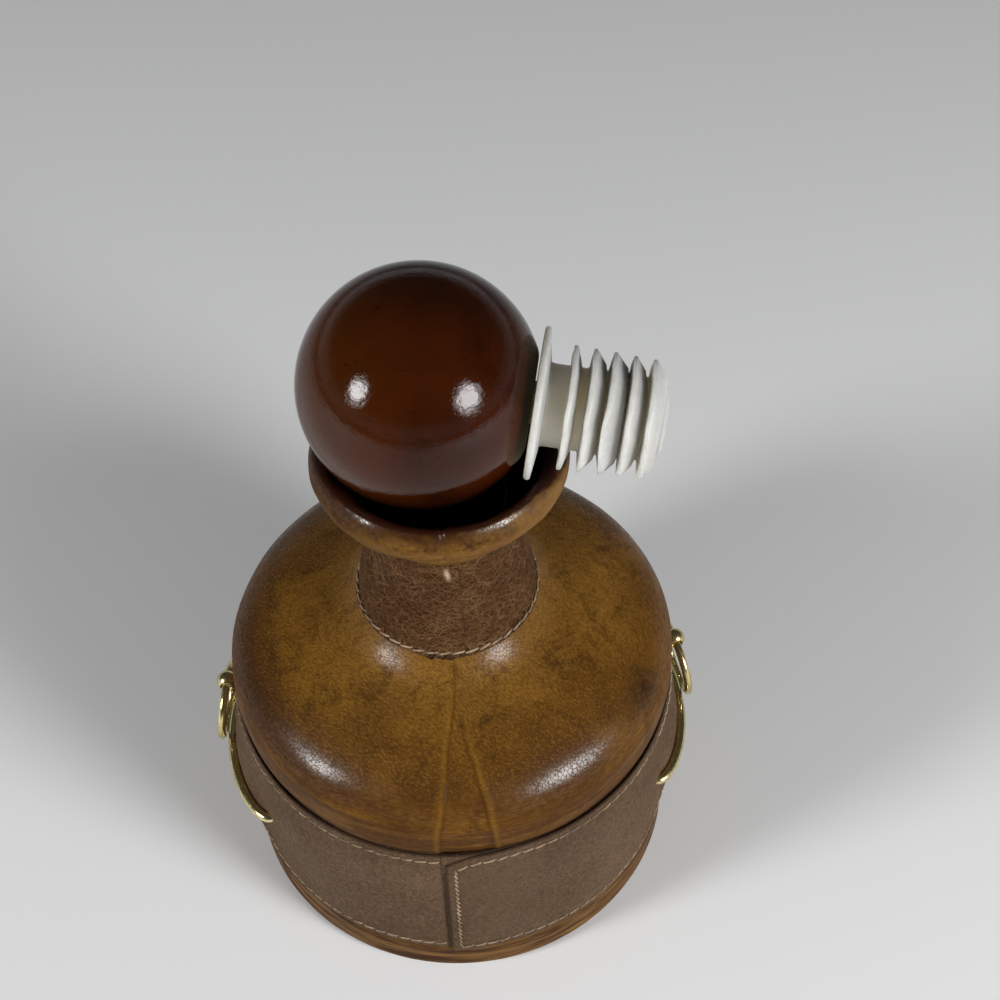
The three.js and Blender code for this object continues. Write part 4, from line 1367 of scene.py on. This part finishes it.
# Near black for the grain lines, and for painted shade on the lower half of the ball.
LACQUER_GRAIN_AND_SHADE = (0.006, 0.0018, 0.0006, 1)
GRAIN_TILT = (0.25, 0.1, 0.05)
GRAIN_SCALES = (90, 420, 1500)
flat_turn = math.degrees(math.asin(BALL_FLAT / BALL_RADIUS))
flat_edge = BALL_RADIUS * math.cos(math.radians(flat_turn))
socket_end = BALL_FLAT - SOCKET_DEPTH
ball_side = arc((0, 0), BALL_RADIUS, -90, flat_turn - FLAT_START, 84)
ball_outline = chain(
    ball_side,
    curve(ball_side[-1], (flat_edge, BALL_FLAT), (flat_edge - FLAT_ROUND, BALL_FLAT), steps=5),
    [(SOCKET_RADIUS, BALL_FLAT), (SOCKET_RADIUS, socket_end), (0.0, socket_end)],
)
ball = stopper_skin("stopper_ball_wood", turned(ball_outline, evenly(144)))
material = new_finish("lacquered_wood")
place = place_of(material)
apart = vector_calc("SUBTRACT", place, Vector(ball_centre * MM))
mapping = {"Vector": apart, "Rotation": GRAIN_TILT, "Scale": GRAIN_SCALES}
tilted = add(material.node_tree, "Mapping", mapping).outputs[0]
grain = noise(tilted, 1.0, 4.0, Roughness=0.65, Distortion=0.3)
across, _, height = split(apart)
color = layered(
    placed(STAIN, place, LACQUER_GLOW, LACQUER_DARK, 30.0, 160.0, 0.25)["Color"],
    # Painted light: the left side of the ball is warmer and lighter.
    (ranged(across, 0.004, -0.026, 0.0, 0.7), LACQUER_PAINTED_GLOW),
    # Painted shade: the lower half of the ball is darker.
    (ranged(height, -0.002, -0.019, 0.0, 0.9), LACQUER_GRAIN_AND_SHADE),
    (ranged(grain, 0.60, 0.72, 0.0, 0.75), LACQUER_GRAIN_AND_SHADE),
)
relief = calc("ADD", noise(place, 620.0, 2.0), times(grain, -0.45))
inputs = {"Base Color": color, "Roughness": ranged(grain, 0.3, 0.7, 0.06, 0.11), "IOR": 1.42}
shaded(material, inputs | {"Specular IOR Level": 0.29, "Normal": bumped(relief, 0.2, 0.00028)})
dress(ball, "stopper", "dark_wood", material, "stopper_ball")

# %% [markdown]
# The plug is soft white plastic: a flange against the ball, a core and five barbed ribs, steep towards
# the ball and sloping towards the tip. The third rib is bent, so its ring is pushed along the axis by an
# amount that changes round the turn.

# %% Plug
CORE_RADIUS = 9.5
PEG_RADIUS, PEG_LENGTH = 4.9, 11.5
FLANGE_THICKNESS = 2.6
FLANGE_EDGE = 0.8
FLANGE_RADIUS = sleeve_inside + 0.2
FIRST_RIB = 6.4
RIB_PITCH = 4.55
RIB_RADIUS = bore + 0.7
RIB_TAPER = 0.15
RIB_BACK, RIB_FRONT = 1.1, 2.9
RIB_EDGE = 0.9
RIB_FULLNESS = (0.55, 0.95, 1.1, 0.9, 0.9)
BENT_RIB = 2
TIP_LENGTH = 4.2
TIP_ROUND = 3.4
flange_foot = BALL_FLAT + CLEAR
flange_top = flange_foot + FLANGE_THICKNESS
rib_middles = flange_foot + FLANGE_THICKNESS / 2 + FIRST_RIB + RIB_PITCH * np.arange(len(RIB_FULLNESS))
plug_tip = rib_middles[-1] + TIP_LENGTH


def rib_outline(index):
    """Outline of one rib from the core, over its edge and back to the core."""
    middle, fullness = rib_middles[index], RIB_FULLNESS[index]
    core, edge, half = CORE_RADIUS, RIB_RADIUS - RIB_TAPER * index, RIB_EDGE / 2
    back, front = middle - RIB_BACK * fullness, middle + RIB_FRONT * fullness
    bends = [
        [(core, back - 0.3), (core, back), (core + 0.6, back + 0.2)],
        [(edge - 0.4, middle - half), (edge, middle - half), (edge, middle)],
        [(edge, middle), (edge, middle + half), (edge - 0.4, middle + 1.4 * half)],
        [(core + 1.4, front), (core + 0.2, front + 0.2), (core, front + 0.5)],
    ]
    return chain(*[curve(*bend, steps=3) for bend in bends])


flange_corner = np.array([CORE_RADIUS, flange_top])
peg_end = flange_foot - PEG_LENGTH
plug_stretches = [
    [(0.0, peg_end), (PEG_RADIUS, peg_end), (PEG_RADIUS, flange_foot), (CORE_RADIUS, flange_foot)],
    arc((FLANGE_RADIUS - FLANGE_EDGE, flange_foot + 0.35 * FLANGE_THICKNESS), FLANGE_EDGE, -90, 90, 8),
    curve(flange_corner + (0.8, 0), flange_corner, flange_corner + (0, 0.8), steps=4),
]
rib_starts = []
for rib in range(len(RIB_FULLNESS)):
    rib_starts.append(len(chain(*plug_stretches)))
    plug_stretches.append(rib_outline(rib))
tip = arc((CORE_RADIUS - TIP_ROUND, plug_tip - TIP_ROUND), TIP_ROUND, 0, 90, 8)
plug_outline = chain(*plug_stretches, tip, [(0.0, plug_tip)])
turns = evenly(144)
rows = turned(plug_outline, turns)
reach = np.clip((np.hypot(rows[:, :, 0], rows[:, :, 1]) - CORE_RADIUS) / (RIB_RADIUS - CORE_RADIUS), 0, 1)
in_rib = np.zeros((len(plug_outline), 1))
in_rib[rib_starts[BENT_RIB] : rib_starts[BENT_RIB + 1]] = 1
bend = 0.9 * bell(turn_apart(turns, 70), 34) - 0.5 * bell(turn_apart(turns, 150), 50)
flutter = waves(turns, (0.09, 5, 0), (0.07, 11, 1))
beyond_flange = plug_outline[:, 1:] > flange_top
rows[:, :, 2] += reach * (beyond_flange * flutter - in_rib * bend)
plug = stopper_skin("stopper_plug_ribs", rows)
print("plug:", len(plug_outline), "rows, ribs start at", rib_starts)

# %% Finish of the plug
PLASTIC_WHITE = (0.45, 0.45, 0.435, 1)
PLASTIC_SHADE = (0.40, 0.395, 0.375, 1)
PLASTIC_CORE_TONE_AND_LIGHT = (0.92, 0.85, 0.71, 1)
PLASTIC_DIRT = (0.30, 0.27, 0.23, 1)
GLOW_REACH = (0.009, 0.0085, 0.007)

material = new_finish("white_plastic")
place = place_of(material)
apart = vector_calc("SUBTRACT", place, Vector(ball_centre * MM))
along = vector_calc("DOT_PRODUCT", apart, Vector(plug_way))
scaling = {0: Vector(plug_way), "Scale": along}
on_axis = add(material.node_tree, "VectorMath", scaling, operation="SCALE").outputs[0]
away = vector_calc("DISTANCE", apart, on_axis)
# The core is lighter and yellower: its own tone, and painted light in the shade of the ribs.
core = times(ranged(away, 0.0105, 0.0096), ranged(along, 0.058, 0.036), 0.85)
specks = noise(place, 900.0, 3.0)
color = layered(
    placed(STAIN, place, PLASTIC_WHITE, PLASTIC_SHADE, 110.0, 600.0)["Color"],
    (core, PLASTIC_CORE_TONE_AND_LIGHT),
    (ranged(specks, 0.70, 0.76, 0.0, 0.6), PLASTIC_DIRT),
)
inputs = {"Base Color": color, "Roughness": ranged(specks, 0.3, 0.7, 0.36, 0.5), "IOR": 1.48}
inputs |= {"Subsurface Weight": 1.0, "Subsurface Radius": GLOW_REACH, "Subsurface Scale": 1.0}
shaded(material, inputs | {"Normal": bumped(specks, 0.08, 0.0002)})
dress(plug, "stopper", "white_plastic", material, "stopper_plug")

# %% [markdown]
# ## Rolled rim
# The mouth is a flared leather collar over a stiff core, with a broad rolled edge. Where the stopper
# lies, the edge is pressed down and in. So there are two outlines, one free and one pressed, and each
# turn of the lathe takes as much of the free one as the stopper leaves room for.

# %% Free and pressed outlines of the rim
PRESSED_ROLL = 3.0
CREST_BEND = 1.5
FACE_BEND = 6.9
CREST_END = 43.0
ROLL_END = -40.0
FACE_DROP = 1.9
UNDER_REACH, SEAT_REACH = 3.8, 8.7
BOWL_RUN, BOWL_DROP = 3.1, 8.4
CREST_STEPS, FACE_STEPS, BOWL_STEPS, UNDER_STEPS = 16, 18, 16, 22
ledge = np.array([sleeve_inside + 1.0, lip_top])
collar_seat = np.array([sleeve_inside + 2.1, collar_foot])


def rim_outline(crest_centre, crest_bend, face_centre, face_bend):
    """Collar outline from its seat outside, over the rolled edge, down into the bowl and the bore."""
    crest = arc(crest_centre, crest_bend, 180, CREST_END, CREST_STEPS)
    face = arc(face_centre, face_bend, CREST_END, ROLL_END, FACE_STEPS)
    face_end = face[-1]
    down = wrapped(1, ROLL_END - 90, 0)[:2]
    under_bends = face_end + down * UNDER_REACH, collar_seat + (0, SEAT_REACH)
    under = curve(face_end, *under_bends, collar_seat, steps=UNDER_STEPS)
    bowl = curve(ledge, (ledge[0] + BOWL_RUN, crest[0][1] - BOWL_DROP), crest[0], steps=BOWL_STEPS)
    start = [(sleeve_inside, collar_foot), (sleeve_inside, lip_top)]
    return np.vstack([start, bowl, crest[1:], face[1:], under[1:]])[::-1]


pressed_centre = np.array([RIM_RADIUS - PRESSED_ROLL, rim_top - PRESSED_ROLL])
face_centre = np.array([RIM_RADIUS - FACE_BEND, rim_top - FACE_DROP])
crest_centre = face_centre + wrapped(FACE_BEND - CREST_BEND, CREST_END, 0)[:2]
pressed_outline = rim_outline(pressed_centre, PRESSED_ROLL, pressed_centre, PRESSED_ROLL)
room_to_rise = rim_outline(crest_centre, CREST_BEND, face_centre, FACE_BEND) - pressed_outline
# Where each point lies on the roll: 0 at the face's end, 1 at the crest's inner side, more in the bowl.
on_roll = np.r_[
    np.full(UNDER_STEPS, -0.1),
    np.linspace(0, 0.5, FACE_STEPS, endpoint=False),
    np.linspace(0.5, 1, CREST_STEPS + 1),
    np.linspace(1.06, 2, BOWL_STEPS),
    [2.0, 2.0],
][:, None]
print("rim outlines:", len(pressed_outline), "points")

# %% Skin of the rim
RIM_SEAM_TURN = -88.5
STOPPER_GAP = 0.35
PRESS_REACH, PRESS_EASE = 13, 11
RIB_SLACK = 0.8
rim_turns = RIM_SEAM_TURN + np.r_[np.arange(-6, 6, 0.5), np.arange(6, 354, 1.5)]
plug_steps = np.arange(flange_foot - 1, plug_tip + 1, 0.2)
plug_radii, plug_heights = plug_outline.T
plug_reach = [
    plug_radii[np.abs(plug_heights - step) < RIB_SLACK].max(initial=CORE_RADIUS)
    for step in plug_steps
]


def stopper_gap(points):
    """Distance from points to the ball and, along its radius, to the plug."""
    apart = points - ball_centre
    along = apart @ plug_way
    away = np.sqrt(np.maximum((apart**2).sum(-1) - along**2, 0))
    from_plug = away - np.interp(along, plug_steps, plug_reach, left=0, right=0)
    return np.minimum(np.linalg.norm(apart, axis=-1) - BALL_RADIUS, from_plug)


def freedom():
    """How free the roll is at each turn, from 0 where the stopper presses it to 1."""
    free = np.zeros(len(rim_turns))
    for share in np.linspace(0.05, 1, 20):
        rows = turned(pressed_outline + room_to_rise * share, rim_turns)
        free = np.where(stopper_gap(rows).min(axis=0) > STOPPER_GAP, share, free)
    apart = np.abs(turn_apart(rim_turns[:, None], rim_turns[None, :]))
    lowest = np.where(apart < PRESS_REACH, free[None, :], 1).min(axis=1)
    near = bell(apart, PRESS_EASE)
    return (near * lowest[None, :]).sum(axis=1) / near.sum(axis=1)


free = freedom()
outline = pressed_outline[:, None, :] + room_to_rise[:, None, :] * free[None, :, None]
rows = wrapped(outline[..., 0], rim_turns, outline[..., 1])
across = way_round(rim_turns, RIM_SEAM_TURN, RIM_RADIUS)
shown = np.clip((rows[:, :, 2] - collar_foot - 2) / 4, 0, 1) * (on_roll < 1)
seam = 0.3 * bell(across, 0.6) - 0.15 * bell(across - 2.2, 1.8)
wave = waves(rim_turns, (0.08, 3, 2), (0.07, 8, 0), (0.05, 17, 0))
rows += out_of(rows) * (shown * (wave - seam))[:, :, None]
print("rim freedom, least and most:", round(float(free.min()), 2), round(float(free.max()), 2))
rim = skin("rim_leather", rows, closed=True, marks={"on_roll": on_roll + 0 * shown})

# %% [markdown]
# The rim's leather is dark with handling and drink on its inner side and worn back to tan on its outer
# face, with a mottled golden belt between. The bowl inside the roll is painted near black, for its dark
# leather and the shade under the stopper. The mesh carries a mark for where each point lies on the
# roll, so the belts stay with the leather where it is pressed.

# %% Finish of the rim
RIM_TAN = (0.168, 0.084, 0.024, 1)
RIM_TAN_DARK = (0.102, 0.048, 0.0120, 1)
RIM_GOLD = (0.160, 0.077, 0.0120, 1)
RIM_BROWN = (0.046, 0.0165, 0.0032, 1)
RIM_INSIDE = (0.022, 0.0052, 0.0018, 1)
RIM_DEEP_DYE_AND_SHADE = (0.004, 0.002, 0.0015, 1)

material = new_finish("rim_leather")
place = place_of(material)
belt = placed(STAIN, place, RIM_GOLD, RIM_BROWN, 170.0, 900.0, 0.45)
roll = carried(material, "on_roll")
across = split(place)["X"]
handled = ranged(across, -0.008, -0.026)
ragged = times(calc("SUBTRACT", noise(place, 420.0, 4.0), 0.5), 0.22)
torn = calc("ADD", calc("ADD", roll, ragged), times(handled, 0.04))
color = layered(
    placed(STAIN, place, RIM_TAN, RIM_TAN_DARK, 60.0, 700.0, 0.5)["Color"],
    (ranged(torn, 0.18, 0.34), belt["Color"]),
    (times(handled, 0.6), RIM_BROWN),
    (times(ranged(torn, 0.28, 0.47, 0.0, 0.7), ranged(across, 0.022, 0.004)), RIM_BROWN),
    (ranged(across, 0.008, 0.024, 0.0, 0.6), RIM_TAN),
    (ranged(torn, 0.42, 0.60), RIM_INSIDE),
    # The bowl is painted near black: dark leather, and painted shade under the stopper.
    (ranged(roll, 1.15, 1.6), RIM_DEEP_DYE_AND_SHADE),
)
grain = placed(GRAIN, place, 1000.0, 0.25, 0.5)["Height"]
polish = times(
    ranged(roll, 0.30, 0.44),
    ranged(roll, 0.85, 0.65),
    ranged(grain, 0.5, 1.2, 0.2, 0.75),
)
inputs = {"Base Color": color, "Roughness": 0.5, "IOR": 1.46, "Specular IOR Level": 0.05}
inputs |= {"Coat Weight": polish, "Coat Roughness": 0.2, "Coat IOR": 1.46}
shaded(material, inputs | {"Normal": bumped(grain, 0.35, 0.00010)})
dress(rim, "decanter", "rim_leather", material, "mouth_collar")

# %% [markdown]
# ## Boxes
# The dressed model has to stay in the space of the solids, so both boxes are written down side by side.

# %% Write the boxes and finish
low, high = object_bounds()
print("boxes, mm:", [[round(x / MM, 1) for x in corner] for corner in (cad_low, cad_high, low, high)])
